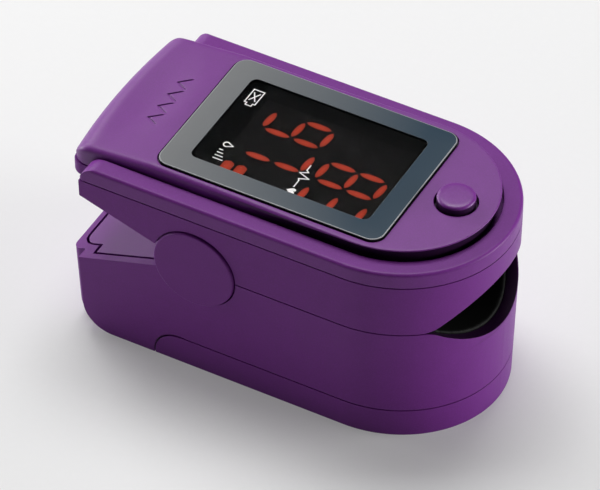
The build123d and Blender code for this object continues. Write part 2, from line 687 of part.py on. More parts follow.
def upper_housing():
    shell = (upper_outer() - below_upper_slope()) - (upper_inner() - below_upper_slope(PLATE))
    ears = both_sides(lambda side: y_disc(EAR_RADIUS, HALF_WIDTH - WALL, EAR_OUTER_Y, side))
    shell -= cap_recess()
    for x, y in UPPER_REAR_SCREWS:
        shell += z_round(BOSS_RADIUS, x, y, upper_slope_z(x) + 0.8, UPPER_BOSS_TOP_Z)
        shell -= z_round(SCREW_HOLE_RADIUS, x, y, Z_PARTING, Z_RIM_SEAM)
        shell -= z_round(SCREW_HEAD_RADIUS + FIT_GAP, x, y, Z_PARTING, UPPER_HEAD_SEAT_Z)
    shell -= lug_room()
    shell += ears
    shell -= both_sides(lambda side: y_disc(PIN_RADIUS + PIN_RUNNING_CLEARANCE, 0.5, FAR, side))
    shell -= both_sides(lambda side: spring_pocket(side, 0.8))
    shell -= lens_opening(UPPER_LENS_Z, 1)
    return shell - flex_slot() - rim_room()


def rim_room():
    """Keeps the housing's top clear of the circuit board's edge."""
    return slab(-16.0, 10.0, -BOARD_HALF_WIDTH - 0.3, BOARD_HALF_WIDTH + 0.3, 25.8, FAR)


def upper_tray():
    arch = lens_band(TRAY_FACE_RADIUS, TRAY_BACK_RADIUS, UPPER_LENS_Z, TUNNEL_END_X - 2.2)
    stop = x_round(TRAY_BACK_RADIUS, TUNNEL_END_X - 2.2, TUNNEL_END_X - 1.2, 0, UPPER_LENS_Z)
    inside = upright(upper_plan, UPPER_BOTTOM_Z, FAR, WALL + BONE_GAP)
    tray = (arch + stop) & inside
    for x, y in UPPER_FRONT_SCREWS:
        post = z_round(BOSS_RADIUS, x, y, FRONT_POST_FLOOR_Z, UPPER_BOSS_TOP_Z)
        tray += post - x_round(TRAY_FACE_RADIUS, -FAR, FAR, 0, UPPER_LENS_Z)
        tray -= z_round(SCREW_HOLE_RADIUS, x, y, Z_PARTING, Z_RIM_SEAM)
        tray -= z_round(SCREW_HEAD_RADIUS + BONE_GAP, x, y, Z_PARTING, FRONT_HEAD_SEAT_Z)
    return tray - sensor_room(20.0, 27.0, 2.4, 2.4) - lug_room()


def upper_finger_pad():
    pad = lens_band(PAD_FACE_RADIUS, PAD_BACK_RADIUS, UPPER_LENS_Z, TUNNEL_END_X - 1.15)
    pad += x_round(PAD_BACK_RADIUS, TUNNEL_END_X - 1.15, TUNNEL_END_X, 0, UPPER_LENS_Z)
    inside = upright(upper_plan, UPPER_BOTTOM_Z, FAR, WALL + BONE_GAP) & slab(
        -FAR, FAR, -FAR, FAR, UPPER_BOTTOM_Z + BONE_GAP, FAR)
    return (pad & inside) - sensor_room(20.0, 27.0, 2.2, 1.8)


def fascia_plan(inset, z=0.0):
    """The raised fascia in plan: nose, sides and the press tab's rounded end."""
    half = FASCIA_HALF_WIDTH - inset
    length = NOSE_LENGTH - FASCIA_NOSE_INSET + 0.1 - inset
    back = FASCIA_BACK_X + inset
    nose = Pos(NOSE_CENTRE_X, 0, z) * Ellipse(length, half)
    strip = Pos((back + NOSE_CENTRE_X) / 2, 0, z) * Rectangle(NOSE_CENTRE_X - back, 2 * half)
    strip = strip & (Pos(back + FASCIA_BULGE_RADIUS, 0, z) * Circle(FASCIA_BULGE_RADIUS))
    corners = [v for v in strip.vertices() if v.X < UPPER_BACK_X]
    return nose + fillet(corners, max(FASCIA_CORNER - inset, 0.8))


def upper_rim():
    low = Z_RIM_SEAM + SEAM_GAP / 2
    rim = upright(upper_plan, low, Z_RIM_TOP, 0.0)
    rim = soften(rim, upright_edges(rim, UPPER_BACK_X + 2), CORNER_RADIUS)
    rim = fillet(edges_at_height(rim, Z_RIM_TOP), RIM_EDGE_RADIUS)
    heel_x = UPPER_BACK_X + RIM_HEEL_RADIUS
    heel_z = Z_RIM_TOP - RIM_HEEL_RADIUS
    corner = slab(-FAR, heel_x, -FAR, FAR, heel_z, FAR)
    rim -= corner - y_round(RIM_HEEL_RADIUS, -FAR, FAR, heel_x, heel_z)
    seat = upright(upper_plan, low - 1, Z_FASCIA_SEAT, RIM_SEAT_WIDTH)
    rim -= seat & slab(UPPER_BACK_X + 3, FAR, -FAR, FAR, -FAR, FAR)
    rim -= upright(fascia_plan, Z_FASCIA_SEAT, FAR, -GROOVE_WIDTH)
    half = FASCIA_HALF_WIDTH + GROOVE_WIDTH
    rim -= slab(-FAR, UPPER_BACK_X + 3.1, -half, half, low - 1, FAR)
    for x, y in UPPER_FRONT_SCREWS + UPPER_REAR_SCREWS:
        rim -= z_round(BOSS_RADIUS + FIT_GAP, x, y, low - 1, FAR)
    return rim


def edges_at_height(solid, z):
    """The edges of a solid that lie flat at one height."""
    return [e for e in solid.edges() if abs(e.bounding_box().min.Z - z) < 0.01]


def glass_plan(grow, z):
    length = GLASS_FRONT_X - GLASS_BACK_X + 2 * grow
    middle = (GLASS_FRONT_X + GLASS_BACK_X) / 2
    plan = Pos(middle, 0, z) * Rectangle(length, 2 * (GLASS_HALF_WIDTH + grow))
    return fillet(plan.vertices(), GLASS_CORNER + grow)


def tab_room():
    """What comes off the press tab: it falls away behind a crease, then rolls down at its end."""
    fall = atan(TAB_SLOPE)
    centre_x = FASCIA_BACK_X + FASCIA_ROLL_RADIUS
    touch_x = centre_x - FASCIA_ROLL_RADIUS * sin(fall)
    touch_z = Z_FASCIA - TAB_SLOPE * (TAB_CREASE_X - touch_x)
    centre_z = touch_z - FASCIA_ROLL_RADIUS * cos(fall)
    middle = (fall + pi / 2) / 2
    bend = (centre_x - FASCIA_ROLL_RADIUS * sin(middle), 0,
            centre_z + FASCIA_ROLL_RADIUS * cos(middle))
    outside_x = FASCIA_BACK_X - 3
    outline = Polyline([(FASCIA_BACK_X, 0, centre_z), (outside_x, 0, centre_z),
                        (outside_x, 0, Z_FASCIA + 1), (TAB_CREASE_X, 0, Z_FASCIA + 1),
                        (TAB_CREASE_X, 0, Z_FASCIA), (touch_x, 0, touch_z)])
    roll = ThreePointArc((touch_x, 0, touch_z), bend, (FASCIA_BACK_X, 0, centre_z))
    axis = Axis((FASCIA_BACK_X + FASCIA_BULGE_RADIUS, 0, 0), (0, 0, 1))
    spread = 30
    cutter = revolve(make_face(outline + roll), axis, spread)
    return cutter.rotate(axis, -spread / 2)


def top_fascia():
    tail_low = Z_RIM_SEAM + SEAM_GAP / 2
    body = upright(fascia_plan, tail_low, Z_FASCIA, 0.0)
    body = fillet(edges_at_height(body, Z_FASCIA), FASCIA_EDGE_RADIUS) - tab_room()
    body -= slab(UPPER_BACK_X + 3.0, FAR, -FAR, FAR, -FAR, Z_FASCIA_SEAT + BONE_GAP)
    hollow = upright(fascia_plan, Z_FASCIA_SEAT - 1, Z_FASCIA - PLATE, PLATE)
    body -= hollow & slab(UPPER_BACK_X + 4.0, FAR, -FAR, FAR, -FAR, FAR)
    seat_z = Z_GLASS - GLASS_THICKNESS
    body -= extrude(glass_plan(GLASS_GAP, seat_z), 5)
    body -= slab(GLASS_BACK_X + 1.3, GLASS_FRONT_X - 1.3, -GLASS_HALF_WIDTH + 1.3,
                 GLASS_HALF_WIDTH - 1.3, Z_RIM_SEAM, FAR)
    body -= z_round(BUTTON_HOLE_RADIUS, BUTTON_X, BUTTON_Y, Z_RIM_SEAM, FAR)
    boss_top = Z_FASCIA - PLATE + 0.2
    front_z, rear_z = FASCIA_BOSS_Z
    for x, y in UPPER_FRONT_SCREWS:
        body += z_round(FASCIA_BOSS_RADIUS, x, y, front_z, boss_top)
    for x, y in UPPER_REAR_SCREWS:
        body += z_round(BOSS_RADIUS, x, y, rear_z, boss_top)
    for x, y in UPPER_FRONT_SCREWS + UPPER_REAR_SCREWS:
        body -= z_round(SCREW_HOLE_RADIUS, x, y, rear_z - 1, FASCIA_SCREW_TOP_Z)
    return body


def display_window():
    pane = extrude(glass_plan(0.0, Z_GLASS - GLASS_THICKNESS + BONE_GAP),
                   GLASS_THICKNESS - BONE_GAP)
    top_edges = pane.edges().filter_by(lambda e: abs(e.center().Z - Z_GLASS) < 0.01)
    return fillet(top_edges, 0.12)


def display_module():
    return slab(GLASS_BACK_X + 1.8, GLASS_FRONT_X - 1.8, -9.6, 9.6, BOARD_TOP_Z + BONE_GAP,
                Z_GLASS - GLASS_THICKNESS - 0.1)


def main_board():
    plan = Pos(4.0, 0, BOARD_BOTTOM_Z) * Rectangle(40.0, 2 * BOARD_HALF_WIDTH)
    plan = plan & upper_plan(4.6, BOARD_BOTTOM_Z)
    board = extrude(plan, BOARD_THICKNESS)
    for x, y in UPPER_FRONT_SCREWS:
        board -= z_round(1.45, x, y, 25.0, 28.0)
    return board


def chip(x, y, length, width, height):
    """A moulded package on the main board's underside, with its row of leads."""
    top = BOARD_BOTTOM_Z - BONE_GAP
    body = slab(x - length / 2, x + length / 2, y - width / 2, y + width / 2, top - height, top)
    lead_pitch = 0.8
    count = int(length / lead_pitch) - 1
    for index in range(count):
        lead_x = x + (index - (count - 1) / 2) * lead_pitch
        body += slab(lead_x - 0.15, lead_x + 0.15, y - width / 2 - 0.6, y + width / 2 + 0.6,
                     top - 0.25, top)
    return body


def processor_chip():
    return chip(-9.8, 5.0, 6.6, 4.4, 1.0)


def amplifier_chip():
    return chip(-9.8, -5.2, 4.4, 3.4, 1.0)


def board_passives():
    """Small capacitors and the clock crystal on the main board's underside."""
    top = BOARD_BOTTOM_Z - BONE_GAP
    places = [(-14.0, y, 1.0, 0.6, 0.5) for y in (-8.0, -6.4, -4.8, 4.8, 6.4, 8.0)]
    places.append((-5.4, -8.6, 3.0, 1.4, 0.7))
    return [slab(x - a / 2, x + a / 2, y - b / 2, y + b / 2, top - h, top)
            for x, y, a, b, h in places]


def flex_connector():
    socket = slab(-15.6, -12.6, -2.3, 2.3, BOARD_BOTTOM_Z - BONE_GAP - 1.6,
                  BOARD_BOTTOM_Z - BONE_GAP)
    return socket - slab(-15.0, -12.0, -1.6, 1.6, 24.72, 25.08)


def tact_switch():
    length, width, height = SWITCH_BODY
    base = Pos(BUTTON_X, BUTTON_Y, BOARD_TOP_Z + BONE_GAP + height / 2) * Box(length, width, height)
    return base - z_round(PLUNGER_RADIUS + 0.1, BUTTON_X, BUTTON_Y, 27.1, FAR)


def switch_plunger():
    return z_round(PLUNGER_RADIUS, BUTTON_X, BUTTON_Y, 27.6, PLUNGER_TOP_Z)


def power_button():
    button = z_round(BUTTON_RADIUS, BUTTON_X, BUTTON_Y, PLUNGER_TOP_Z + 0.02, Z_BUTTON)
    top_edge = button.edges().filter_by(GeomType.CIRCLE).sort_by(Axis.Z)[-1]
    button = fillet(top_edge, 0.45)
    flange_top = Z_FASCIA - PLATE - BONE_GAP
    return button + z_round(BUTTON_FLANGE_RADIUS, BUTTON_X, BUTTON_Y, PLUNGER_TOP_Z + 0.02,
                            flange_top)


def emitter_led():
    return sensor_die(EMITTER_BOTTOM_Z, BOARD_BOTTOM_Z - BONE_GAP)


def emitter_window():
    return clear_window(*EMITTER_WINDOW_Z)


def upper_screws():
    front = [screw(x, y, 23.65, 29.0) for x, y in UPPER_FRONT_SCREWS]
    rear = [screw(x, y, 22.65, 29.0) for x, y in UPPER_REAR_SCREWS]
    return front + rear


# --- write every node --------------------------------------------------------------------------------
def centred(pieces):
    """One node's pieces, moved so that the origin is the middle of the bounding box."""
    middle = Pos(-(FRONT_X + FASCIA_BACK_X) / 2, 0, 0)
    if isinstance(pieces, list):
        return Compound(children=[s for piece in pieces for s in (middle * piece).solids()])
    return middle * pieces


NODES = {
    "lower_housing": lower_housing,
    "lower_tray": lower_tray,
    "battery_cover": battery_cover,
    "lower_finger_pad": lower_finger_pad,
    "battery_left": lambda: battery(1),
    "battery_right": lambda: battery(-1),
    "battery_springs": battery_springs,
    "front_contact": front_contact,
    "rear_contacts": rear_contacts,
    "sensor_board": sensor_board,
    "photodiode": photodiode,
    "sensor_window": sensor_window,
    "lower_screws": lower_screws,
    "hinge_pins": hinge_pins,
    "pivot_cap_left": lambda: pivot_cap(1),
    "pivot_cap_right": lambda: pivot_cap(-1),
    "torsion_spring_left": lambda: torsion_spring(1),
    "torsion_spring_right": lambda: torsion_spring(-1),
    "flex_cable": flex_cable,
    "upper_housing": upper_housing,
    "upper_tray": upper_tray,
    "upper_finger_pad": upper_finger_pad,
    "upper_rim": upper_rim,
    "top_fascia": top_fascia,
    "display_window": display_window,
    "display_module": display_module,
    "main_board": main_board,
    "processor_chip": processor_chip,
    "amplifier_chip": amplifier_chip,
    "board_passives": board_passives,
    "flex_connector": flex_connector,
    "tact_switch": tact_switch,
    "switch_plunger": switch_plunger,
    "power_button": power_button,
    "emitter_led": emitter_led,
    "emitter_window": emitter_window,
    "upper_screws": upper_screws,
}

for node_name, make_node in NODES.items():
    export_step(centred(make_node()), f"parts/{node_name}.step")
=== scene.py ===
import math

import bmesh
import bpy
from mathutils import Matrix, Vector
from mathutils.geometry import delaunay_2d_cdt


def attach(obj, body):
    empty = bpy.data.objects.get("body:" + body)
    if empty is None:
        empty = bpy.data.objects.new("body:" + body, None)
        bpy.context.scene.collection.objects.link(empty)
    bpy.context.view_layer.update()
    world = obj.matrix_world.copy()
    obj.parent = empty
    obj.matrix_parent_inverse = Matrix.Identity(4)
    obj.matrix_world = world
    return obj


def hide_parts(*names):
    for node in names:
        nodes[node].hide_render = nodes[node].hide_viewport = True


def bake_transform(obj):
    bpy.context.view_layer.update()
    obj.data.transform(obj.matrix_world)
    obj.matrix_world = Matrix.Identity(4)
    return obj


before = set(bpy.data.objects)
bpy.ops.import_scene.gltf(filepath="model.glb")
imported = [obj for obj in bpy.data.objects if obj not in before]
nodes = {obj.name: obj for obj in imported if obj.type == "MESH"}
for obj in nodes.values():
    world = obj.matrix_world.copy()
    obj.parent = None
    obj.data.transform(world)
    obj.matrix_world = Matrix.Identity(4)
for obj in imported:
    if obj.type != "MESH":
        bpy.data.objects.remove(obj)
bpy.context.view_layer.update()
scene = bpy.context.scene

# --- units and shared dimensions (millimetres, turned into metres by at()) -----------------------
MM = 0.001
ORIGIN_X = 0.475            # the jaws' middle plane lies this far from the drawing's zero
Z_FASCIA = 30.75            # flat top of the fascia
Z_WINDOW = 31.05            # top of the display window
Z_PARTING = 18.6            # where the closed jaws meet, and the hinge's height
HINGE_X = -9.0
WINDOW = (-16.95, 15.65, -11.53, 11.53)     # low X, high X, low Y, high Y
WINDOW_CORNER = 1.8
WINDOW_BOTTOM = 30.25
WINDOW_GAP = 0.24           # round the window, in the fascia
OPENING = (-13.5, 12.55, -8.6, 8.6)         # the clear middle, inside the printed border
OPENING_CORNER = 1.0
HALF_WIDTH = 15.5
NOSE_CENTRE_X = 12.45       # the open end is half an ellipse about this point
NOSE_LENGTH = 16.2


def at(x, y, z):
    """A point of the drawing, in the shared frame."""
    return Vector(((x + ORIGIN_X) * MM, y * MM, z * MM))


# --- camera --------------------------------------------------------------------------------------
VIEW_AZIMUTH = math.radians(28.83)
VIEW_ELEVATION = math.radians(42.90)
VIEW_DISTANCE = 0.6961
FOCAL_LENGTH = 319.19       # millimetres, on a sensor 36 wide
AIM_RIGHT = 0.000571        # metres beside and below the target, which frames the object
AIM_DOWN = 0.001392


def direction(azimuth, elevation):
    """Unit vector towards a point seen at that azimuth and elevation, in radians."""
    flat = math.cos(elevation)
    return Vector((math.sin(azimuth) * flat, -math.cos(azimuth) * flat, math.sin(elevation)))


camera_data = bpy.data.cameras.new("camera")
camera_data.lens = FOCAL_LENGTH
camera_data.sensor_width = 36
camera_data.clip_start = 0.01
camera_data.clip_end = 20
camera = bpy.data.objects.new("camera", camera_data)
scene.collection.objects.link(camera)
back = direction(VIEW_AZIMUTH, VIEW_ELEVATION)
right = Vector((math.cos(VIEW_AZIMUTH), math.sin(VIEW_AZIMUTH), 0))
target = at(-2.55, 0, 15)
camera.location = target + back * VIEW_DISTANCE
aim = target + right * AIM_RIGHT - back.cross(right) * AIM_DOWN
camera.rotation_mode = "QUATERNION"
camera.rotation_quaternion = (aim - camera.location).to_track_quat("-Z", "Y")
scene.camera = camera
scene.view_settings.view_transform = "Standard"


# --- light ---------------------------------------------------------------------------------------
LIGHT_DISTANCE = 0.6
LIT_CENTRE = Vector((0, 0, 0.015))
SKY_STRENGTH = 0.03


def softbox(name, azimuth, elevation, size, power):
    """A rectangular area light that faces the object."""
    towards = direction(math.radians(azimuth), math.radians(elevation))
    data = bpy.data.lights.new(name, "AREA")
    data.shape = "RECTANGLE"
    data.size, data.size_y = size
    data.energy = power
    light = bpy.data.objects.new(name, data)
    scene.collection.objects.link(light)
    light.location = LIT_CENTRE + towards * LIGHT_DISTANCE
    light.rotation_mode = "QUATERNION"
    light.rotation_quaternion = (-towards).to_track_quat("-Z", "Y")


softbox("key", azimuth=212, elevation=68, size=(0.42, 0.26), power=3.1)
softbox("back", azimuth=244, elevation=24, size=(0.40, 0.20), power=1.2)
softbox("side", azimuth=112, elevation=8, size=(0.35, 0.2), power=3.0)
softbox("low_back", azimuth=272, elevation=8, size=(0.3, 0.16), power=1.9)

world = bpy.data.worlds.new("world")
scene.world = world
world.use_nodes = True
sky = world.node_tree.nodes["Background"]
sky.inputs["Color"].default_value = (1, 1, 1, 1)
sky.inputs["Strength"].default_value = SKY_STRENGTH


# --- shader node helpers -------------------------------------------------------------------------
def noise(tree, coords, size, detail=2.0, stretch=None):
    """Noise with features about that size, in metres."""
    texture = tree.nodes.new("ShaderNodeTexNoise")
    texture.inputs["Scale"].default_value = 1 / size
    texture.inputs["Detail"].default_value = detail
    source = coords.outputs["Object"]
    if stretch:
        mapping = tree.nodes.new("ShaderNodeMapping")
        mapping.inputs["Scale"].default_value = stretch
        tree.links.new(source, mapping.inputs["Vector"])
        source = mapping.outputs["Vector"]
    tree.links.new(source, texture.inputs["Vector"])
    return texture.outputs["Fac"]


def remap(tree, value, low, high, to_low, to_high):
    """A value turned from one range into another, and held within it."""
    node = tree.nodes.new("ShaderNodeMapRange")
    for socket, number in zip(("From Min", "From Max", "To Min", "To Max"),
                              (low, high, to_low, to_high)):
        node.inputs[socket].default_value = number
    tree.links.new(value, node.inputs["Value"])
    return node.outputs["Result"]


def mixed(tree, factor, first, second):
    """A colour between two, each a colour or a socket."""
    node = tree.nodes.new("ShaderNodeMix")
    node.data_type = "RGBA"
    tree.links.new(factor, node.inputs["Factor"])
    for socket, colour in ((node.inputs[6], first), (node.inputs[7], second)):
        if isinstance(colour, tuple):
            socket.default_value = (*colour, 1)
        else:
            tree.links.new(colour, socket)
    return node.outputs[2]


def shade(colour, factor):
    """The colour made lighter or darker by a factor."""
    return tuple(min(channel * factor, 1.0) for channel in colour)


def along(tree, coords, axis):
    """One object coordinate as a socket."""
    split = tree.nodes.new("ShaderNodeSeparateXYZ")
    tree.links.new(coords.outputs["Object"], split.inputs["Vector"])
    return split.outputs[axis]


def rise(tree, value, low, high):
    """0 below the low and 1 above the high, which are in millimetres of the shared frame."""
    return remap(tree, value, low * MM, high * MM, 0.0, 1.0)


def drop(tree, value, low, high):
    """1 below the low and 0 above the high, which are in millimetres of the shared frame."""
    return remap(tree, value, low * MM, high * MM, 1.0, 0.0)


def math_step(tree, operation, first, second):
    """The result of one operation on a socket and a socket or number."""
    node = tree.nodes.new("ShaderNodeMath")
    node.operation = operation
    tree.links.new(first, node.inputs[0])
    if isinstance(second, float):
        node.inputs[1].default_value = second
    else:
        tree.links.new(second, node.inputs[1])
    return node.outputs[0]


def vector_step(tree, operation, first, second=None):
    """The node of one operation on a vector socket, and a constant vector where it takes one."""
    node = tree.nodes.new("ShaderNodeVectorMath")
    node.operation = operation
    tree.links.new(first, node.inputs[0])
    if second is not None:
        node.inputs[1].default_value = second
    return node


def product(tree, values):
    """All the values multiplied together."""
    found = values[0]
    for value in values[1:]:
        found = math_step(tree, "MULTIPLY", found, value)
    return found


def distance_from(tree, value, middle):
    """How far a value lies from the middle, either way."""
    return math_step(tree, "ABSOLUTE", math_step(tree, "SUBTRACT", value, middle), 0.0)


# --- materials -----------------------------------------------------------------------------------
SPECKLE_GAIN = 3.5          # a speck is this many times the patches' variation lighter
BEVEL_SAMPLES = 6
EDGE_WEAR_AND_HIGHLIGHT_FACING = (0.995, 0.85)     # cosine of the normal's turn where the edge wear and painted highlight start and are full


def principled(name):
    """A new material, its node tree and its main shader."""
    material = bpy.data.materials.new(name)
    material.use_nodes = True
    tree = material.node_tree
    return material, tree, tree.nodes["Principled BSDF"]


def moulded(name, colour, roughness, specular=0.3, metallic=0.0, variation=0.07, patch=3.0,
            grain=0.2, depth=0.011, edge=0.12, edge_wear_and_highlight=0.3, edge_colour=None, rough_span=0.06,
            stretch=None, paint=None):
    """A surface with colour patches, fine grain, softened edges, and edges made lighter, partly as
    wear and partly as a painted highlight. Sizes in mm.

    paint(tree, coords, colour_socket) may draw on the colour before the edges are lightened.
    """
    material, tree, shader = principled(name)
    shader.inputs["Specular IOR Level"].default_value = specular
    shader.inputs["Metallic"].default_value = metallic
    coords = tree.nodes.new("ShaderNodeTexCoord")
    patches = noise(tree, coords, patch * MM, 3.0)
    fine = noise(tree, coords, grain * MM, stretch=stretch)
    tint = mixed(tree, patches, shade(colour, 1 - variation), shade(colour, 1 + variation))
    speckle = remap(tree, fine, 0.45, 0.75, 0.0, 0.6)
    tint = mixed(tree, speckle, tint, shade(colour, 1 + SPECKLE_GAIN * variation))
    if paint:
        tint = paint(tree, coords, tint)
    bevel = tree.nodes.new("ShaderNodeBevel")
    bevel.samples = BEVEL_SAMPLES
    bevel.inputs["Radius"].default_value = edge * MM
    geometry = tree.nodes.new("ShaderNodeNewGeometry")
    facing = tree.nodes.new("ShaderNodeVectorMath")
    facing.operation = "DOT_PRODUCT"
    tree.links.new(bevel.outputs["Normal"], facing.inputs[0])
    tree.links.new(geometry.outputs["Normal"], facing.inputs[1])
    # Painted highlight, partly edge wear: the colour turns lighter where the softened edges turn.
    wear_and_highlight = remap(tree, facing.outputs["Value"], *EDGE_WEAR_AND_HIGHLIGHT_FACING, 0.0, edge_wear_and_highlight)
    tint = mixed(tree, wear_and_highlight, tint, edge_colour or shade(colour, 1.6))
    tree.links.new(tint, shader.inputs["Base Color"])
    gloss = remap(tree, fine, 0.3, 0.7, roughness - rough_span, roughness + rough_span)
    tree.links.new(gloss, shader.inputs["Roughness"])
    bump = tree.nodes.new("ShaderNodeBump")
    bump.inputs["Strength"].default_value = 1.0
    bump.inputs["Distance"].default_value = depth * MM
    tree.links.new(fine, bump.inputs["Height"])
    tree.links.new(bevel.outputs["Normal"], bump.inputs["Normal"])
    tree.links.new(bump.outputs["Normal"], shader.inputs["Normal"])
    return material


PURPLE = (0.152, 0.024, 0.215)
# The deep purple of painted shade, laid on walls and gaps that the light hardly reaches.
PAINTED_SHADE_PURPLE = (0.022, 0.003, 0.030)

# Where each patch of painted shade fades in or out, from one value to the other, in millimetres.
TUNNEL_FLOOR = (13.4, 13.5)
TUNNEL_ROOF = (23.7, 23.8)
TUNNEL_FRONT = (13.5, 14.5)
NOSE_WALL_TOP = (30.38, 30.48)      # the fascia's wall above the groove
NOSE_WALL_START = (-9.0, 3.0)
GROOVE_TOP = (28.6, 29.3)           # the fascia's foot, in the groove
GROOVE_START = (-25.0, -22.0)
POCKET_TOP = (30.68, 30.73)         # the wall of the window's pocket
POCKET_MARGIN = 0.03
POCKET_BLUR = 0.02
CROWN_START = (31.42, 31.56)        # the button's side, below its crown
LIP_SHARE = (0.974, 0.980)          # this one is a share of the nose's half ellipse


def circuit_paint(tree, coords, tint):
    """Copper tracks under green solder mask."""
    bricks = tree.nodes.new("ShaderNodeTexBrick")
    bricks.inputs["Scale"].default_value = 700
    bricks.inputs["Mortar Size"].default_value = 0.06
    bricks.inputs["Color1"].default_value = (0, 0, 0, 1)
    bricks.inputs["Color2"].default_value = (0, 0, 0, 1)
    bricks.inputs["Mortar"].default_value = (1, 1, 1, 1)
    tree.links.new(coords.outputs["Object"], bricks.inputs["Vector"])
    return mixed(tree, bricks.outputs["Fac"], tint, (0.05, 0.26, 0.10))


def jacket_paint(tree, coords, tint):
    """A copper-coloured band round the cell's far end."""
    band = rise(tree, along(tree, coords, "X"), 9.0, 9.2)
    return mixed(tree, band, tint, (0.42, 0.17, 0.05))


def border_painted_reflection(tree, coords, tint):
    """Painted reflection: the printed border's colour grades from grey to a blue-grey along the
    window.
    """
    reflection_fade = rise(tree, along(tree, coords, "X"), -16.0, 12.0)
    return mixed(tree, reflection_fade, tint, (0.030, 0.052, 0.075))


def opening_painted_shade(tree, coords, tint):
    """Painted shade: the wall of the finger opening, inside the nose's outline, is made darker
    than the outside.
    """
    shifted = vector_step(tree, "SUBTRACT", coords.outputs["Object"],
                          at(NOSE_CENTRE_X, 0, Z_PARTING))
    scaled = vector_step(tree, "MULTIPLY", shifted.outputs["Vector"],
                         (1 / (NOSE_LENGTH * MM), 1 / (HALF_WIDTH * MM), 0))
    reach = vector_step(tree, "LENGTH", scaled.outputs["Vector"])
    within = remap(tree, reach.outputs["Value"], *LIP_SHARE, 1.0, 0.0)
    height = along(tree, coords, "Z")
    painted_shade_mask = product(tree, [within, rise(tree, height, *TUNNEL_FLOOR),
                                 drop(tree, height, *TUNNEL_ROOF),
                                 rise(tree, along(tree, coords, "X"), *TUNNEL_FRONT)])
    return mixed(tree, painted_shade_mask, tint, PAINTED_SHADE_PURPLE)


def fascia_painted_shade(tree, coords, tint):
    """Painted shade on the fascia's wall round the nose, at the bottom of the groove and in the
    window's pocket.
    """
    height = along(tree, coords, "Z")
    length = along(tree, coords, "X")
    nose_wall = product(tree, [drop(tree, height, *NOSE_WALL_TOP),
                               rise(tree, length, *NOSE_WALL_START)])
    foot = product(tree, [drop(tree, height, *GROOVE_TOP), rise(tree, length, *GROOVE_START)])
    x0, x1, y0, y1 = WINDOW
    half_length = (x1 - x0) / 2 + WINDOW_GAP + POCKET_MARGIN
    half_width = y1 + WINDOW_GAP + POCKET_MARGIN
    centre = at((x0 + x1) / 2, 0, 0).x
    pocket = product(tree, [
        drop(tree, distance_from(tree, length, centre), half_length, half_length + POCKET_BLUR),
        drop(tree, distance_from(tree, along(tree, coords, "Y"), 0.0), half_width,
             half_width + POCKET_BLUR),
        drop(tree, height, *POCKET_TOP)])
    painted_shade = math_step(tree, "MAXIMUM", math_step(tree, "MAXIMUM", nose_wall, foot), pocket)
    return mixed(tree, painted_shade, tint, PAINTED_SHADE_PURPLE)


def button_painted_shade(tree, coords, tint):
    """Painted shade: the button's side is made darker than its crown."""
    side = drop(tree, along(tree, coords, "Z"), *CROWN_START)
    return mixed(tree, side, tint, PAINTED_SHADE_PURPLE)


shell = moulded("purple_shell", PURPLE, 0.42, specular=0.14)
rim_shell = moulded("purple_rim", PURPLE, 0.42, specular=0.22)
# The fascia's material carries painted shade on its wall round the nose, in the groove and in the
# window's pocket.
fascia_finish_and_painted_shade = moulded("purple_fascia", PURPLE, 0.44, specular=0.4, edge=0.2,
                        paint=fascia_painted_shade)
# The jaws' material carries painted shade on the wall of the finger opening.
jaw_shell = moulded("purple_jaw_shell", PURPLE, 0.42, specular=0.14, paint=opening_painted_shade)
cap = moulded("purple_cap", PURPLE, 0.40, specular=0.14)
tray = moulded("purple_tray", PURPLE, 0.48, specular=0.35, depth=0.008)
# The button's material carries painted shade on its side.
button_finish_and_painted_shade = moulded("purple_button", shade(PURPLE, 1.03), 0.38, specular=0.4, grain=0.25,
                        paint=button_painted_shade)
rubber = moulded("black_silicone", (0.0035, 0.0038, 0.0035), 0.6, specular=0.12, variation=0.2,
                 edge_colour=(0.03, 0.034, 0.03), edge=0.3, edge_wear_and_highlight=0.8, depth=0.010)
# The border's colour grades along the window as a painted reflection.
border = moulded("window_border", (0.175, 0.18, 0.184), 0.35, specular=0.12, variation=0.04,
                 grain=0.05, depth=0.001, edge=0.05, edge_colour=(0.40, 0.42, 0.43), edge_wear_and_highlight=0.8,
                 paint=border_painted_reflection)
# The bevel's lighter grey is a painted highlight along the window's edge.
window_bevel_painted_highlight = moulded("window_bevel_painted_highlight", (0.30, 0.31, 0.32), 0.25, specular=0.5, variation=0.05,
                       grain=0.05, depth=0.001, edge=0.05, edge_wear_and_highlight=0.2)
window_side = moulded("window_side", (0.008, 0.008, 0.009), 0.3, specular=0.4, variation=0.1)
screen = moulded("screen_black", (0.003, 0.0034, 0.0032), 0.35, specular=0.04, variation=0.1,
                 depth=0.002)
panel = moulded("screen_panel", (0.0065, 0.0063, 0.006), 0.4, specular=0.06, variation=0.1,
                depth=0.002)
laminate = moulded("board_green", (0.012, 0.10, 0.035), 0.38, specular=0.5, patch=6.0,
                   depth=0.004, edge_colour=(0.35, 0.30, 0.16), paint=circuit_paint)
epoxy = moulded("chip_black", (0.016, 0.016, 0.018), 0.5, depth=0.01,
                edge_colour=(0.35, 0.35, 0.34))
ceramic = moulded("ceramic_tan", (0.42, 0.29, 0.17), 0.45, edge_colour=(0.6, 0.6, 0.58), edge_wear_and_highlight=0.6)
nylon = moulded("connector_ivory", (0.60, 0.56, 0.46), 0.5, variation=0.05)
film = moulded("flex_amber", (0.50, 0.19, 0.03), 0.25, specular=0.5, variation=0.12, depth=0.003)
package = moulded("emitter_white", (0.72, 0.70, 0.64), 0.35, specular=0.5, variation=0.05)
wire = moulded("spring_wire", (0.48, 0.48, 0.49), 0.3, metallic=1.0, grain=0.08, depth=0.004,
               stretch=(0.2, 1.0, 1.0))
nickel = moulded("contact_nickel", (0.62, 0.60, 0.55), 0.22, metallic=1.0, patch=1.5, depth=0.002)
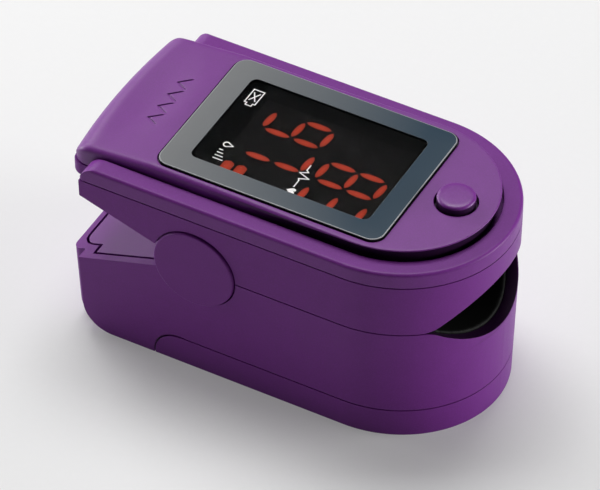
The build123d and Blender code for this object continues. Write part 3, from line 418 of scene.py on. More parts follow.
zinc = moulded("screw_zinc", (0.45, 0.45, 0.47), 0.34, metallic=1.0, patch=0.8, depth=0.004)
ground = moulded("pin_steel", (0.55, 0.55, 0.56), 0.2, metallic=1.0, grain=0.06, depth=0.002,
                 stretch=(1.0, 0.1, 1.0))
jacket = moulded("cell_jacket", (0.022, 0.022, 0.025), 0.28, specular=0.5, variation=0.1,
                 depth=0.002, edge_colour=(0.5, 0.5, 0.5), paint=jacket_paint)
switch_black = moulded("switch_black", (0.02, 0.02, 0.022), 0.5, depth=0.008)
white_print_with_painted_glow = moulded("white_print_with_painted_glow", (0.80, 0.79, 0.76), 0.5, variation=0.04, depth=0.002)
# Painted light: the white print glows a little, in place of lamp light that the clear window keeps
# from it.
print_painted_glow = white_print_with_painted_glow.node_tree.nodes["Principled BSDF"]
print_painted_glow.inputs["Emission Color"].default_value = (1, 0.98, 0.94, 1)
print_painted_glow.inputs["Emission Strength"].default_value = 0.35


def lens_material(name, tint, roughness, ior, specular):
    """Clear moulded plastic with faint swirls in its gloss."""
    material, tree, shader = principled(name)
    shader.inputs["Transmission Weight"].default_value = 1.0
    shader.inputs["IOR"].default_value = ior
    shader.inputs["Specular IOR Level"].default_value = specular
    coords = tree.nodes.new("ShaderNodeTexCoord")
    swirl = noise(tree, coords, 2.0 * MM)
    tree.links.new(mixed(tree, swirl, shade(tint, 0.97), tint), shader.inputs["Base Color"])
    tree.links.new(remap(tree, swirl, 0.3, 0.7, roughness * 0.6, roughness * 1.4),
                   shader.inputs["Roughness"])
    return material


clear = lens_material("clear_epoxy", (0.93, 0.95, 0.96), 0.04, 1.49, 0.5)
window_clear = lens_material("window_clear", (0.90, 0.90, 0.92), 0.03, 1.15, 0.1)


def glowing(name, colour, strength):
    """Lit light bars: bright along the middle of each bar, from the bar's own glow attribute."""
    material, tree, shader = principled(name)
    shader.inputs["Base Color"].default_value = (*shade(colour, 0.15), 1)
    shader.inputs["Roughness"].default_value = 0.5
    shader.inputs["Specular IOR Level"].default_value = 0.05
    shader.inputs["Emission Strength"].default_value = strength
    glow = tree.nodes.new("ShaderNodeAttribute")
    glow.attribute_name = "glow"
    coords = tree.nodes.new("ShaderNodeTexCoord")
    specks = noise(tree, coords, 0.25 * MM)
    lit = mixed(tree, glow.outputs["Fac"], shade(colour, 0.5), colour)
    tree.links.new(mixed(tree, remap(tree, specks, 0.35, 0.75, 0.0, 0.35), lit,
                         shade(colour, 0.8)), shader.inputs["Emission Color"])
    return material


light_bars = glowing("light_bars", (0.42, 0.046, 0.022), 1.05)

FINISH = {
    "lower_housing": jaw_shell, "upper_housing": jaw_shell, "upper_rim": rim_shell,
    "top_fascia": shell, "battery_cover": shell, "lower_tray": tray, "upper_tray": tray,
    "pivot_cap_left": cap, "pivot_cap_right": cap, "lower_finger_pad": rubber,
    "upper_finger_pad": rubber,
    "battery_left": jacket, "battery_right": jacket, "battery_springs": nickel,
    "front_contact": nickel, "rear_contacts": nickel, "sensor_board": laminate,
    "main_board": laminate, "photodiode": epoxy, "processor_chip": epoxy,
    "amplifier_chip": epoxy, "sensor_window": clear, "emitter_window": clear,
    "emitter_led": package, "board_passives": ceramic, "flex_connector": nylon,
    "flex_cable": film, "lower_screws": zinc, "upper_screws": zinc, "hinge_pins": ground,
    "torsion_spring_left": wire, "torsion_spring_right": wire, "display_window": window_clear,
    "display_module": screen, "tact_switch": switch_black, "switch_plunger": switch_black,
    "power_button": button_finish_and_painted_shade,
}


def smooth_by_angle(mesh, degrees):
    """Smooth shading, with a sharp edge wherever two faces turn by more than the angle."""
    mesh.polygons.foreach_set("use_smooth", [True] * len(mesh.polygons))
    mesh.set_sharp_from_angle(angle=math.radians(degrees))


# Every carried-over node has its own procedural material.
for node_name, node in nodes.items():
    node.data.materials.clear()
    node.data.materials.append(FINISH[node_name])
    smooth_by_angle(node.data, 30)


# --- mesh helpers --------------------------------------------------------------------------------
def new_piece(name, points, faces, materials, body="upper_jaw", replaced=()):
    """A mesh object that rides on a body. points are in millimetres of the drawing."""
    mesh = bpy.data.meshes.new(name)
    mesh.from_pydata([at(*p) for p in points], [], faces)
    for material in materials:
        mesh.materials.append(material)
    piece = bpy.data.objects.new(name, mesh)
    scene.collection.objects.link(piece)
    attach(piece, body)
    if replaced:
        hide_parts(*replaced)
    return piece


def rounded_outline(x0, x1, y0, y1, radius, steps=10):
    """Points round a rectangle with rounded corners."""
    points = []
    for cx, cy, start in ((x1 - radius, y1 - radius, 0), (x0 + radius, y1 - radius, 90),
                          (x0 + radius, y0 + radius, 180), (x1 - radius, y0 + radius, 270)):
        for step in range(steps + 1):
            turn = math.radians(start + 90 * step / steps)
            points.append((cx + radius * math.cos(turn), cy + radius * math.sin(turn)))
    return points


def skin(rings, closed_tube=False, capped=True):
    """Points and faces between rings that have the same number of points."""
    count = len(rings[0])
    points = [p for ring in rings for p in ring]
    faces = []
    pairs = [(i, i + 1) for i in range(len(rings) - 1)]
    if closed_tube:
        pairs.append((len(rings) - 1, 0))
    for low, high in pairs:
        for i in range(count):
            j = (i + 1) % count
            faces.append((low * count + i, low * count + j, high * count + j, high * count + i))
    if capped and not closed_tube:
        faces.append(tuple(reversed(range(count))))
        faces.append(tuple((len(rings) - 1) * count + i for i in range(count)))
    return points, faces


def welded_copy(node_name, name):
    """A copy of a CAD node's mesh with its corners joined, ready to be reshaped."""
    mesh = nodes[node_name].data.copy()
    mesh.name = name
    shape = bmesh.new()
    shape.from_mesh(mesh)
    bmesh.ops.remove_doubles(shape, verts=shape.verts, dist=1e-7)
    shape.to_mesh(mesh)
    shape.free()
    piece = bpy.data.objects.new(name, mesh)
    scene.collection.objects.link(piece)
    return piece


# --- display window: printed border and clear middle ---------------------------------------------
def grown_ring(rectangle, corner, grow, z):
    """A rounded rectangle, grown by a distance on each side, at one height."""
    x0, x1, y0, y1 = rectangle
    return [(x, y, z) for x, y in rounded_outline(x0 - grow, x1 + grow, y0 - grow, y1 + grow,
                                                  corner + grow)]


def window_ring(inset, z):
    """The window's outline, moved inwards."""
    return grown_ring(WINDOW, WINDOW_CORNER, -inset, z)


def opening_ring(grow, z):
    """The outline of the window's clear middle, moved outwards."""
    return grown_ring(OPENING, OPENING_CORNER, grow, z)


# The window's outer edge, from its bottom up: inset and height, ending in a small bevel.
EDGE_PROFILE = [(0.0, WINDOW_BOTTOM), (0.0, 30.97), (0.02, 31.01), (0.06, 31.04), (0.13, Z_WINDOW)]
PANE_BOTTOM = 30.76
PANE_DROP = 0.01            # the pane lies this far below the border's top, and laps into it
rings = [window_ring(inset, z) for inset, z in EDGE_PROFILE]
rings += [opening_ring(0.0, Z_WINDOW), opening_ring(0.0, WINDOW_BOTTOM)]
points, faces = skin(rings, closed_tube=True)
window_border = new_piece("window_border", points, faces, [border, window_side, window_bevel_painted_highlight],
                          replaced=["display_window"])
ring_size = len(rings[0])
top_band = len(EDGE_PROFILE) - 1
for index, face in enumerate(window_border.data.polygons):
    band = index // ring_size
    face.material_index = 0 if band == top_band else 2 if 1 <= band < top_band else 1
smooth_by_angle(window_border.data, 25)

points, faces = skin([opening_ring(-0.01, z) for z in (PANE_BOTTOM, Z_WINDOW - PANE_DROP)])
new_piece("window_pane", points, faces, [window_clear])

# --- display: black face, light bars and white symbols -------------------------------------------
FACE_TOP = 30.66
FACE_PROFILE = [(0.5, 27.0), (0.5, 30.15), (-0.02, 30.2), (-0.02, FACE_TOP)]    # growth, height
points, faces = skin([opening_ring(grow, z) for grow, z in FACE_PROFILE])
new_piece("display_face", points, faces, [screen], replaced=["display_module"])
panel_outline = rounded_outline(-9.9, 12.3, -8.5, 5.9, radius=0.2, steps=3)
points, faces = skin([[(x, y, z) for x, y in panel_outline] for z in (FACE_TOP, FACE_TOP + 0.01)])
new_piece("display_panel", points, faces, [panel])

PRINT_BOTTOM = FACE_TOP + 0.012
PRINT_TOP = FACE_TOP + 0.032
SYMBOL_LEVELS = (PRINT_TOP + 0.004, PRINT_TOP + 0.014)
NEAR_LIMIT = -8.55          # the display's near edge, which cuts off what reaches past it
BLUNT_END = 0.42            # share of a bar's width that its ends keep
BELLY_POWER = 0.75          # below 1, a bar fills out sooner from its ends
END_RAMP = 8                # an end takes up 1 / 8 of the bar
THINNEST = 0.02


def light_bar(start, end, width, blunt, steps=10):
    """One light bar's two edges, a long oval with blunt ends, and its glow along them."""
    (x0, y0), (x1, y1) = start, end
    length = math.hypot(x1 - x0, y1 - y0)
    ux, uy = (x1 - x0) / length, (y1 - y0) / length
    side, other = [], []
    for step in range(steps + 1):
        share = step / steps
        belly = math.sin(math.pi * share) ** BELLY_POWER
        end_width = min(1, END_RAMP * min(share, 1 - share))
        half = max(width / 2 * (blunt * end_width + (1 - blunt) * belly), THINNEST)
        cx, cy = x0 + ux * length * share, y0 + uy * length * share
        side.append((cx - uy * half, cy + ux * half))
        other.append((cx + uy * half, cy - ux * half))
    return side, other, [math.sin(math.pi * s / steps) for s in range(steps + 1)]


class Bars:
    """Collects light bars as one mesh."""

    def __init__(self):
        self.points, self.faces, self.glow = [], [], []

    def add(self, start, end, width, blunt=BLUNT_END):
        """A thin bar, whose glow rises from 0 at its rim to its middle."""
        side, other, glow = light_bar(start, end, width, blunt)
        first = len(self.points)
        for z in (PRINT_BOTTOM, PRINT_TOP):
            for (ax, ay), (bx, by), level in zip(side, other, glow):
                middle = ((ax + bx) / 2, (ay + by) / 2)
                for (x, y), share in (((ax, ay), 0.0), (middle, 1.0), ((bx, by), 0.0)):
                    self.points.append((x, max(y, NEAR_LIMIT), z))
                    self.glow.append(level * share)
        rows = len(side)
        top = first + rows * 3
        for row in range(rows - 1):
            a, b = first + row * 3, first + row * 3 + 3
            c, d = top + row * 3, top + row * 3 + 3
            for k in (0, 1):
                self.faces.append((a + k, a + k + 1, b + k + 1, b + k))
                self.faces.append((c + k + 1, c + k, d + k, d + k + 1))
            self.faces.append((a, b, d, c))
            self.faces.append((b + 2, a + 2, c + 2, d + 2))
        for a, c, flip in ((first, top, False), (top - 3, top + rows * 3 - 3, True)):
            for k in (0, 1):
                face = (a + k, c + k, c + k + 1, a + k + 1)
                self.faces.append(tuple(reversed(face)) if flip else face)


DIGIT_HALF_WIDTH = 1.82     # the digit's width lies along Y, its height along X
DIGIT_STEP = 4.2            # between the cross bars of a digit
BAR_WIDTH = 0.98
BAR_SLANT = 0.14            # half of a cross bar's lean along the display
CROSS_GAP = 0.3             # from a cross bar's end to the middle of the upright
UPRIGHT_GAP = 0.32
SEGMENTS = {"9": "abcdfg", "7": "abc", "8": "abcdefg", "3": "adg"}
DIGITS = (("9", -7.83, 2.69), ("7", -7.83, -2.48), ("8", 2.83, -2.69), ("3", 2.7, -7.86))
METER_BARS = (-8.35, -6.45)     # X of the two wide bars at the display's near edge
METER_LEAN = 0.03
METER_ENDS = (-6.7, -9.2)       # their ends in Y, the second one cut off
METER_WIDTH = 1.5
bars = Bars()


def draw_digit(shape, low_x, centre_y):
    """One seven-bar digit whose bottom bar is at low_x and whose top is towards +X."""
    left, right_ = centre_y + DIGIT_HALF_WIDTH, centre_y - DIGIT_HALF_WIDTH
    cross = {"d": 0, "g": 1, "a": 2}
    upright = {"e": (left, 0), "c": (right_, 0), "f": (left, 1), "b": (right_, 1)}
    for segment in SEGMENTS[shape]:
        if segment in cross:
            x = low_x + cross[segment] * DIGIT_STEP
            bars.add((x + BAR_SLANT, left - CROSS_GAP), (x - BAR_SLANT, right_ + CROSS_GAP),
                     BAR_WIDTH)
        else:
            y, level = upright[segment]
            x = low_x + level * DIGIT_STEP
            bars.add((x + UPRIGHT_GAP, y), (x + DIGIT_STEP - UPRIGHT_GAP, y), BAR_WIDTH)


for shape, low_x, centre_y in DIGITS:
    draw_digit(shape, low_x, centre_y)
for x in METER_BARS:
    bars.add((x + METER_LEAN, METER_ENDS[0]), (x - METER_LEAN, METER_ENDS[1]), METER_WIDTH,
             blunt=1.0)
segments = new_piece("display_light_bars", bars.points, bars.faces, [light_bars])
glow = segments.data.attributes.new("glow", "FLOAT", "POINT")
glow.data.foreach_set("value", bars.glow)


PLATE_FACES = ((0, 1, 2, 3), (7, 6, 5, 4), (0, 4, 5, 1), (1, 5, 6, 2), (2, 6, 7, 3), (3, 7, 4, 0))
STROKE_WIDTH = 0.17


def stroke_piece(name, paths, width, material):
    """Flat strokes of one width along open or closed paths, as one mesh of short plates."""
    points, faces = [], []
    for path in paths:
        for (ax, ay), (bx, by) in zip(path, path[1:]):
            length = math.hypot(bx - ax, by - ay)
            ux, uy = (bx - ax) / length * width / 2, (by - ay) / length * width / 2
            corners = [(ax - ux - uy, ay - uy + ux), (bx + ux - uy, by + uy + ux),
                       (bx + ux + uy, by + uy - ux), (ax - ux + uy, ay - uy - ux)]
            first = len(points)
            points += [(x, y, z) for z in SYMBOL_LEVELS for x, y in corners]
            faces += [tuple(first + i for i in face) for face in PLATE_FACES]
    return new_piece(name, points, faces, [material])


def arc(cx, cy, radius, start, end, steps=14):
    """Points along an arc, between two angles in degrees."""
    return [(cx + radius * math.cos(math.radians(start + (end - start) * s / steps)),
             cy + radius * math.sin(math.radians(start + (end - start) * s / steps)))
            for s in range(steps + 1)]


battery_icon = [[(-12.45, 6.9), (-10.9, 6.9), (-10.9, 4.2), (-11.25, 4.2), (-11.25, 3.75),
                 (-12.1, 3.75), (-12.1, 4.2), (-12.45, 4.2), (-12.45, 6.9)],
                [(-12.1, 6.3), (-11.25, 4.8)], [(-11.25, 6.3), (-12.1, 4.8)]]
drop_icon = [[(-9.45, -4.2), *arc(-10.35, -4.2, 0.42, 50, 310), (-9.45, -4.2)]]
gauge_icon = [[(-10.7, y), (-10.7 + h, y)] for y, h in ((-5.4, 0.4), (-6.0, 0.7), (-6.6, 1.0),
                                                         (-7.2, 1.3))]
pulse_icon = [[(1.1, -2.6), (1.1, -3.6), (1.5, -3.9), (0.5, -4.4), (2.1, -5.0), (0.9, -5.5),
               (1.1, -5.8), (1.1, -7.1)]]
stroke_piece("display_symbols", battery_icon + drop_icon + gauge_icon + pulse_icon,
             STROKE_WIDTH, white_print_with_painted_glow)


def heart_outline(centre_x, centre_y, height_scale, width_scale, steps=40):
    """Points round a heart, from the usual curve in sines and cosines; it points towards -X."""
    found = []
    for step in range(steps):
        turn = 2 * math.pi * step / steps
        across = 16 * math.sin(turn) ** 3
        up = (13 * math.cos(turn) - 5 * math.cos(2 * turn) - 2 * math.cos(3 * turn)
              - math.cos(4 * turn))
        found.append((centre_x + up * height_scale, centre_y - across * width_scale))
    return found


heart = heart_outline(1.2, -7.98, height_scale=0.045, width_scale=0.035)
points, faces = skin([[(x, y, z) for x, y in reversed(heart)] for z in SYMBOL_LEVELS])
new_piece("display_heart", points, faces, [white_print_with_painted_glow])

# --- power button: a turned cap with a soft crown ------------------------------------------------
BUTTON = (20.6, 0.4)
# Radius and height, from the crown down the side and round the flange below the fascia.
CROWN = [(0.6, 31.90), (1.2, 31.895), (1.75, 31.885), (2.12, 31.86), (2.32, 31.80), (2.46, 31.70),
         (2.53, 31.56), (2.55, 31.40), (2.55, 29.52), (3.5, 29.50), (3.5, 28.80), (1.3, 28.77)]
TURNS = 96
rings = [[(BUTTON[0] + r * math.cos(2 * math.pi * i / TURNS),
           BUTTON[1] + r * math.sin(2 * math.pi * i / TURNS), z) for i in range(TURNS)]
         for r, z in reversed(CROWN)]
points, faces = skin(rings)
button = new_piece("power_button_cap", points, faces, [button_finish_and_painted_shade],
                   body="power_button", replaced=["power_button"])
smooth_by_angle(button.data, 50)


# --- fascia: a closed shell with a thumb hollow and chevrons in its press tab --------------------
FASCIA_BACK_X = -29.6       # the tab's end, on the middle line
FASCIA_HALF_WIDTH = 12.67
FASCIA_NOSE = 13.47         # length of the nose's half ellipse
BULGE_RADIUS = 90.0         # of the tab's end, seen from above
BULGE_CENTRE_X = FASCIA_BACK_X + BULGE_RADIUS
TAB_CORNER = 2.3
TAB_CREASE_X = -18.0        # where the top starts to fall
TAB_SLOPE = 0.095
ROLL_RADIUS = 3.4           # of the tab's end, seen from the side
FASCIA_LOW = 26.9           # underside of the press tab
RIM_SEAT = 27.6             # underside of the rest, on the rim's ledge
SEAT_BACK_X = -23.05
SHELL_GAP = 0.03            # the shell stays this far inside the solid that it replaces
EDGE_RADIUS = 0.85          # of the soft edge along the sides
EDGE_LOSS = 0.7             # by which that radius is smaller at the nose
EDGE_TAPER_X = -26.0        # behind here it gets smaller too, towards the tab's end
EDGE_TAPER = 0.25           # per millimetre
SMALLEST_EDGE = 0.25
FRONT_START = -8.0          # where the sides start to change towards the nose
FRONT_RUN = 22.0
NOSE_UNDERCUT = 0.9         # how far the foot stands back round the nose
UPPER_UNDERCUT = 0.25       # share of that which is left below the soft edge
BELOW_EDGE = 0.25           # from the soft edge down to where the undercut starts
HOLLOW_X = -23.8            # middle of the thumb hollow
HOLLOW_REACH = (5.2, 11.6)
HOLLOW_DEPTH = 0.3
MARK_X = -22.4              # points of the chevrons
MARK_Y = 3.95               # of the first one
MARK_STEP = 2.6
MARK_LENGTH = 1.6
MARK_HALF_WIDTH = 1.1
MARK_STROKE = 0.45
MARK_DEPTH = 0.15
BUTTON_HOLE = 2.91
BUTTON_HOLE_STEPS = 72
POCKET_CORNER = 2.0
LEDGE_Z = WINDOW_BOTTOM - 0.05      # under the window's border
LEDGE_GROW = 1.2            # from the display's opening to the ledge's inner edge
NOSE_STEPS = 60
SIDE_STEPS = 100
CORNER_STEPS = 12
END_STEPS = 60
EDGE_STEPS = 6


def fascia_outline():
    """Points round the fascia, with the outward direction at each."""
    corner_y = FASCIA_HALF_WIDTH - TAB_CORNER
    corner_x = BULGE_CENTRE_X - math.sqrt((BULGE_RADIUS - TAB_CORNER) ** 2 - corner_y ** 2)
    meet = math.atan2(corner_y, BULGE_CENTRE_X - corner_x)
    found = []
    for step in range(NOSE_STEPS + 1):
        turn = -math.pi / 2 + math.pi * step / NOSE_STEPS
        x, y = math.cos(turn), math.sin(turn)
        length = math.hypot(x / FASCIA_NOSE, y / FASCIA_HALF_WIDTH)
        found.append((NOSE_CENTRE_X + FASCIA_NOSE * x, FASCIA_HALF_WIDTH * y,
                      x / FASCIA_NOSE / length, y / FASCIA_HALF_WIDTH / length))
    far_side = []
    for step in range(1, SIDE_STEPS):
        x = NOSE_CENTRE_X + (corner_x - NOSE_CENTRE_X) * step / SIDE_STEPS
        far_side.append((x, FASCIA_HALF_WIDTH, 0.0, 1.0))
    for step in range(CORNER_STEPS + 1):
        turn = math.pi / 2 + (math.pi / 2 - meet) * step / CORNER_STEPS
        nx, ny = math.cos(turn), math.sin(turn)
        far_side.append((corner_x + TAB_CORNER * nx, corner_y + TAB_CORNER * ny, nx, ny))
    found += far_side
    for step in range(1, END_STEPS):
        turn = math.pi - meet + 2 * meet * step / END_STEPS
        nx, ny = math.cos(turn), math.sin(turn)
        found.append((BULGE_CENTRE_X + BULGE_RADIUS * nx, BULGE_RADIUS * ny, nx, ny))
    found += [(x, -y, nx, -ny) for x, y, nx, ny in reversed(far_side)]
    return found


def tab_height(x, y):
    """The fascia's top: flat, falling away behind the crease, then rolled at the tab's end."""
    along_x = BULGE_CENTRE_X - math.hypot(BULGE_CENTRE_X - x, y)
    fall = math.atan(TAB_SLOPE)
    round_x = FASCIA_BACK_X + ROLL_RADIUS
    touch_x = round_x - ROLL_RADIUS * math.sin(fall)
    touch_z = Z_FASCIA - TAB_SLOPE * (TAB_CREASE_X - touch_x)
    if along_x >= touch_x:
        top = Z_FASCIA - TAB_SLOPE * max(TAB_CREASE_X - along_x, 0.0)
    else:
        across = min(max(round_x - along_x, 0.0), ROLL_RADIUS)
        top = touch_z - ROLL_RADIUS * math.cos(fall) + math.sqrt(ROLL_RADIUS ** 2 - across ** 2)
    off = ((x - HOLLOW_X) / HOLLOW_REACH[0]) ** 2 + (y / HOLLOW_REACH[1]) ** 2
    return top - (HOLLOW_DEPTH * (1 - off) ** 2 if off < 1 else 0.0)


def fascia_foot(x, y):
    """The fascia's underside."""
    return FASCIA_LOW if x < SEAT_BACK_X else RIM_SEAT


def front_share(x):
    """0 behind the middle of the fascia, 1 at its nose, smoothly."""
    share = min(max((x - FRONT_START) / FRONT_RUN, 0.0), 1.0)
    return share * share * (3 - 2 * share)


def edge_radius(x):
    """Radius of the shell's soft upper edge."""
    side = EDGE_RADIUS - EDGE_LOSS * front_share(x)
    if x > EDGE_TAPER_X:
        return side
    return max(SMALLEST_EDGE, side - EDGE_TAPER * (EDGE_TAPER_X - x))


def undercut(x):
    """How far the shell's foot stands back."""
    return NOSE_UNDERCUT * front_share(x)


def inside(outline, x, y):
    """Whether a place is inside an outline."""
    hit = False
    for (ax, ay), (bx, by) in zip(outline, outline[1:] + outline[:1]):
        if (ay > y) != (by > y) and x < ax + (y - ay) * (bx - ax) / (by - ay):
            hit = not hit
    return hit


def fill(points, faces, border, holes, extra, height):
    """Triangles between the border and the holes, which are lists of point numbers, through the
    extra places, whose heights come from height(x, y).
    """
    loops = [border] + holes
    fixed = [points[i][:2] for loop in loops for i in loop]
    known = [i for loop in loops for i in loop]
    edges = []
    start = 0
    for loop in loops:
        edges += [(start + i, start + (i + 1) % len(loop)) for i in range(len(loop))]
        start += len(loop)
    made = delaunay_2d_cdt([Vector(p) for p in fixed + extra], edges, [], 0, 1e-6)
    verts, triangles, origins = made[0], made[2], made[3]
    number = []
    for place, origin in zip(verts, origins):
        first = [i for i in origin if i < len(known)]
        if first:
            number.append(known[first[0]])
        else:
            number.append(len(points))
            points.append((place.x, place.y, height(place.x, place.y)))
    shapes = [[points[i][:2] for i in loop] for loop in loops]
    for triangle in triangles:
        x = sum(verts[i].x for i in triangle) / 3
        y = sum(verts[i].y for i in triangle) / 3
        if inside(shapes[0], x, y) and not any(inside(shape, x, y) for shape in shapes[1:]):
            faces.append(tuple(number[i] for i in triangle))


def loop_of(points, places):
    """Adds the places to the points and returns their numbers."""
    first = len(points)
    points.extend(places)
    return list(range(first, len(points)))


def wall(points, faces, upper, places):
    """Walls from a loop of point numbers to new points at the given places; their numbers."""
    lower = loop_of(points, places)
    for i in range(len(upper)):
        j = (i + 1) % len(upper)
        faces.append((upper[i], upper[j], lower[j], lower[i]))
    return lower


def chevrons():
    """Outlines of the four marks on the press tab; they point towards its end."""
    found = []
    for step in range(4):
        y = MARK_Y - MARK_STEP * step
        outer, inner = MARK_X + MARK_LENGTH, MARK_X + MARK_LENGTH + MARK_STROKE
        found.append([(MARK_X, y), (outer, y + MARK_HALF_WIDTH), (inner, y + MARK_HALF_WIDTH),
                      (MARK_X + MARK_STROKE, y), (inner, y - MARK_HALF_WIDTH),
                      (outer, y - MARK_HALF_WIDTH)])
    return found


ROLL_INSETS = (0.32, 0.5, 0.72, 0.98, 1.3, 1.68, 2.1, 2.6, 3.1, 3.6)
ROLL_STEP = 0.35            # between places across the rolled end
HALF_ROLL_PLACES = 36
GRID_STEP = 0.45
GRID_COLUMNS = 120
HALF_GRID_ROWS = 28
GRID_BACK_X = -25.5
GRID_SHIFT = (0.013, 0.007)     # keeps the places off the outlines' own points
WINDOW_CLEARANCE = (0.6, 0.4)
HOLE_CLEARANCE = 0.2
EDGE_CLEARANCE = 0.18
MARKS_X = (MARK_X - 0.3, MARK_X + 2.4)
MARKS_MIDDLE_Y = 0.05
MARKS_HALF_SPAN = 5.3


def surface_places(outline):
    """Places for the fascia's top: a grid, closer together over the rolled end."""
    found = []

    def offer(x, y):
        """Takes the place unless it is close to the window, the marks, the hole or the edge."""
        in_window = (WINDOW[0] - WINDOW_CLEARANCE[0] < x < WINDOW[1] + WINDOW_CLEARANCE[0]
                     and abs(y) < WINDOW[3] + WINDOW_CLEARANCE[1])
        in_marks = MARKS_X[0] < x < MARKS_X[1] and abs(y - MARKS_MIDDLE_Y) < MARKS_HALF_SPAN
        from_button = math.hypot(x - BUTTON[0], y - BUTTON[1])
        near_button = from_button < BUTTON_HOLE + HOLE_CLEARANCE
        if in_window or in_marks or near_button or not inside(outline, x, y):
            return
        if min(math.hypot(x - ex, y - ey) for ex, ey in outline) > EDGE_CLEARANCE:
            found.append((x, y))

    for inset in ROLL_INSETS:
        for step in range(-HALF_ROLL_PLACES, HALF_ROLL_PLACES + 1):
            y = ROLL_STEP * step
            offer(BULGE_CENTRE_X - math.sqrt((BULGE_RADIUS - inset) ** 2 - y * y), y)
    for column in range(GRID_COLUMNS):
        for row in range(-HALF_GRID_ROWS, HALF_GRID_ROWS + 1):
            offer(GRID_BACK_X + GRID_STEP * column + GRID_SHIFT[0],
                  GRID_STEP * row + GRID_SHIFT[1])
    return found


def shell_rings(outline):
    """Rings up the fascia's side, from its foot over the soft edge to its top.

    Where the shell is too thin for its edge, each ring still lies above the one before.
    """
    rings = []

    def ring(inset_of, height_of):
        """Adds a ring whose inset comes from x, and whose height comes from the inset place."""
        points = []
        for x, y, nx, ny in outline:
            inset = inset_of(x)
            px, py = x - nx * inset, y - ny * inset
            points.append((px, py, height_of(px, py)))
        rings.append(points)

    ring(lambda x: SHELL_GAP + undercut(x), fascia_foot)
    ring(lambda x: SHELL_GAP + UPPER_UNDERCUT * undercut(x),
         lambda x, y: max(tab_height(x, y) - edge_radius(x) - BELOW_EDGE,
                          fascia_foot(x, y) + 0.05))
    for step in range(EDGE_STEPS + 1):
        turn = math.pi / 2 * step / EDGE_STEPS
        ring(lambda x: edge_radius(x) * (1 - math.cos(turn)),
             lambda x, y: max(tab_height(x, y) - edge_radius(x) * (1 - math.sin(turn)),
                              fascia_foot(x, y) + 0.1 + 0.02 * step))
    return rings


def at_height(points, numbers, z):
    """The places straight above or below the numbered points, at one height."""
    return [(*points[i][:2], z) for i in numbers]


def fascia_mesh():
    """Closed, soft-edged shell with a pocket for the window and a hole for the button."""
    rings = shell_rings(fascia_outline())
    count = len(rings[0])
    points, faces = skin(rings, capped=False)
    top = list(range((len(rings) - 1) * count, len(rings) * count))
    x0, x1, y0, y1 = WINDOW
    pocket = loop_of(points, [(x, y, Z_FASCIA) for x, y in rounded_outline(
        x0 - WINDOW_GAP, x1 + WINDOW_GAP, y0 - WINDOW_GAP, y1 + WINDOW_GAP, POCKET_CORNER)])
    turns = [2 * math.pi * i / BUTTON_HOLE_STEPS for i in range(BUTTON_HOLE_STEPS)]
    hole = loop_of(points, [(BUTTON[0] + BUTTON_HOLE * math.cos(turn),
                             BUTTON[1] + BUTTON_HOLE * math.sin(turn), Z_FASCIA)
                            for turn in turns])
    marks = []
    for outline in chevrons():
        mark = loop_of(points, [(x, y, tab_height(x, y)) for x, y in outline])
        floor_of_mark = wall(points, faces, mark,
                             [(x, y, tab_height(x, y) - MARK_DEPTH) for x, y in outline])
        faces.append(tuple(floor_of_mark))
        marks.append(mark)
    edge = [points[i][:2] for i in top]
    fill(points, faces, top, [pocket, hole] + marks, surface_places(edge), tab_height)
    ledge = wall(points, faces, pocket, at_height(points, pocket, LEDGE_Z))
    lip = wall(points, faces, ledge, opening_ring(LEDGE_GROW, LEDGE_Z))
    foot = wall(points, faces, lip, at_height(points, lip, RIM_SEAT))
    low_hole = wall(points, faces, hole, at_height(points, hole, RIM_SEAT))
    fill(points, faces, list(range(count)), [foot, low_hole], [], fascia_foot)
    return points, faces


points, faces = fascia_mesh()
fascia = new_piece("fascia_shell", points, faces, [fascia_finish_and_painted_shade])
shape = bmesh.new()
shape.from_mesh(fascia.data)
bmesh.ops.recalc_face_normals(shape, faces=shape.faces)
shape.to_mesh(fascia.data)
shape.free()
smooth_by_angle(fascia.data, 30)
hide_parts("top_fascia")


# --- silicone pads with soft lips ----------------------------------------------------------------
PAD_VOXEL = 0.25
RELAX_ROUNDS = 4


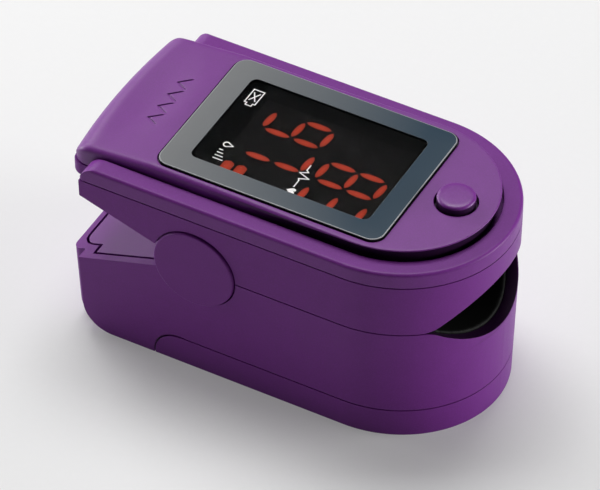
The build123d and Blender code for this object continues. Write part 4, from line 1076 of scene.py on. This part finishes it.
def soft_pad(node_name, name, body):
    """The pad with every edge rounded and its faces relaxed."""
    pad = welded_copy(node_name, name)
    remesh = pad.modifiers.new("remesh", "REMESH")
    remesh.mode = "VOXEL"
    remesh.voxel_size = PAD_VOXEL * MM
    relax = pad.modifiers.new("relax", "SMOOTH")
    relax.factor = 0.5
    relax.iterations = RELAX_ROUNDS
    depsgraph = bpy.context.evaluated_depsgraph_get()
    mesh = bpy.data.meshes.new_from_object(pad.evaluated_get(depsgraph))
    pad.modifiers.clear()
    pad.data = mesh
    mesh.materials.clear()
    mesh.materials.append(rubber)
    mesh.polygons.foreach_set("use_smooth", [True] * len(mesh.polygons))
    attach(pad, body)
    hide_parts(node_name)


soft_pad("lower_finger_pad", "lower_pad", "lower_jaw")
soft_pad("upper_finger_pad", "upper_pad", "upper_jaw")


# --- copies of the springs and the flexible circuit ----------------------------------------------
SPRING_BEND = 1.2           # half the height between the two points given for each spring, at the hinge
RIBBON_BEND = (14.5, 22.5)  # heights of the two points given for the flexible circuit


def bending_copy(node_name, name, slot_name, start, end):
    """A welded copy of the node, with the node's material, in the node's place; the two points,
    start and end, are not used.
    """
    piece = welded_copy(node_name, name)
    piece.data.materials.clear()
    piece.data.materials.append(FINISH[node_name])
    smooth_by_angle(piece.data, 50)
    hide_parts(node_name)
    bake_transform(piece)


for side in ("left", "right"):
    bending_copy(f"torsion_spring_{side}", f"jaw_spring_{side}", "spring_steel",
                 at(HINGE_X, 0, Z_PARTING - SPRING_BEND), at(HINGE_X, 0, Z_PARTING + SPRING_BEND))
bending_copy("flex_cable", "flex_ribbon", "flex_film",
             *(at(HINGE_X, 0, height) for height in RIBBON_BEND))

# --- floor, just below the object's flat underside -----------------------------------------------
bpy.ops.mesh.primitive_plane_add(size=6, location=(0, 0, -0.00002))
floor = bpy.context.object
floor.name = "floor"
floor.data.materials.append(moulded("floor_paper", (0.62, 0.62, 0.62), 0.9, specular=0.1,
                                    variation=0.005, patch=80.0, grain=1.0, depth=0.01,
                                    edge=0.01, edge_wear_and_highlight=0.0))
paper = floor.data.materials[0].node_tree.nodes["Principled BSDF"]
paper.inputs["Emission Color"].default_value = (1, 1, 1, 1)
paper.inputs["Emission Strength"].default_value = 0.18
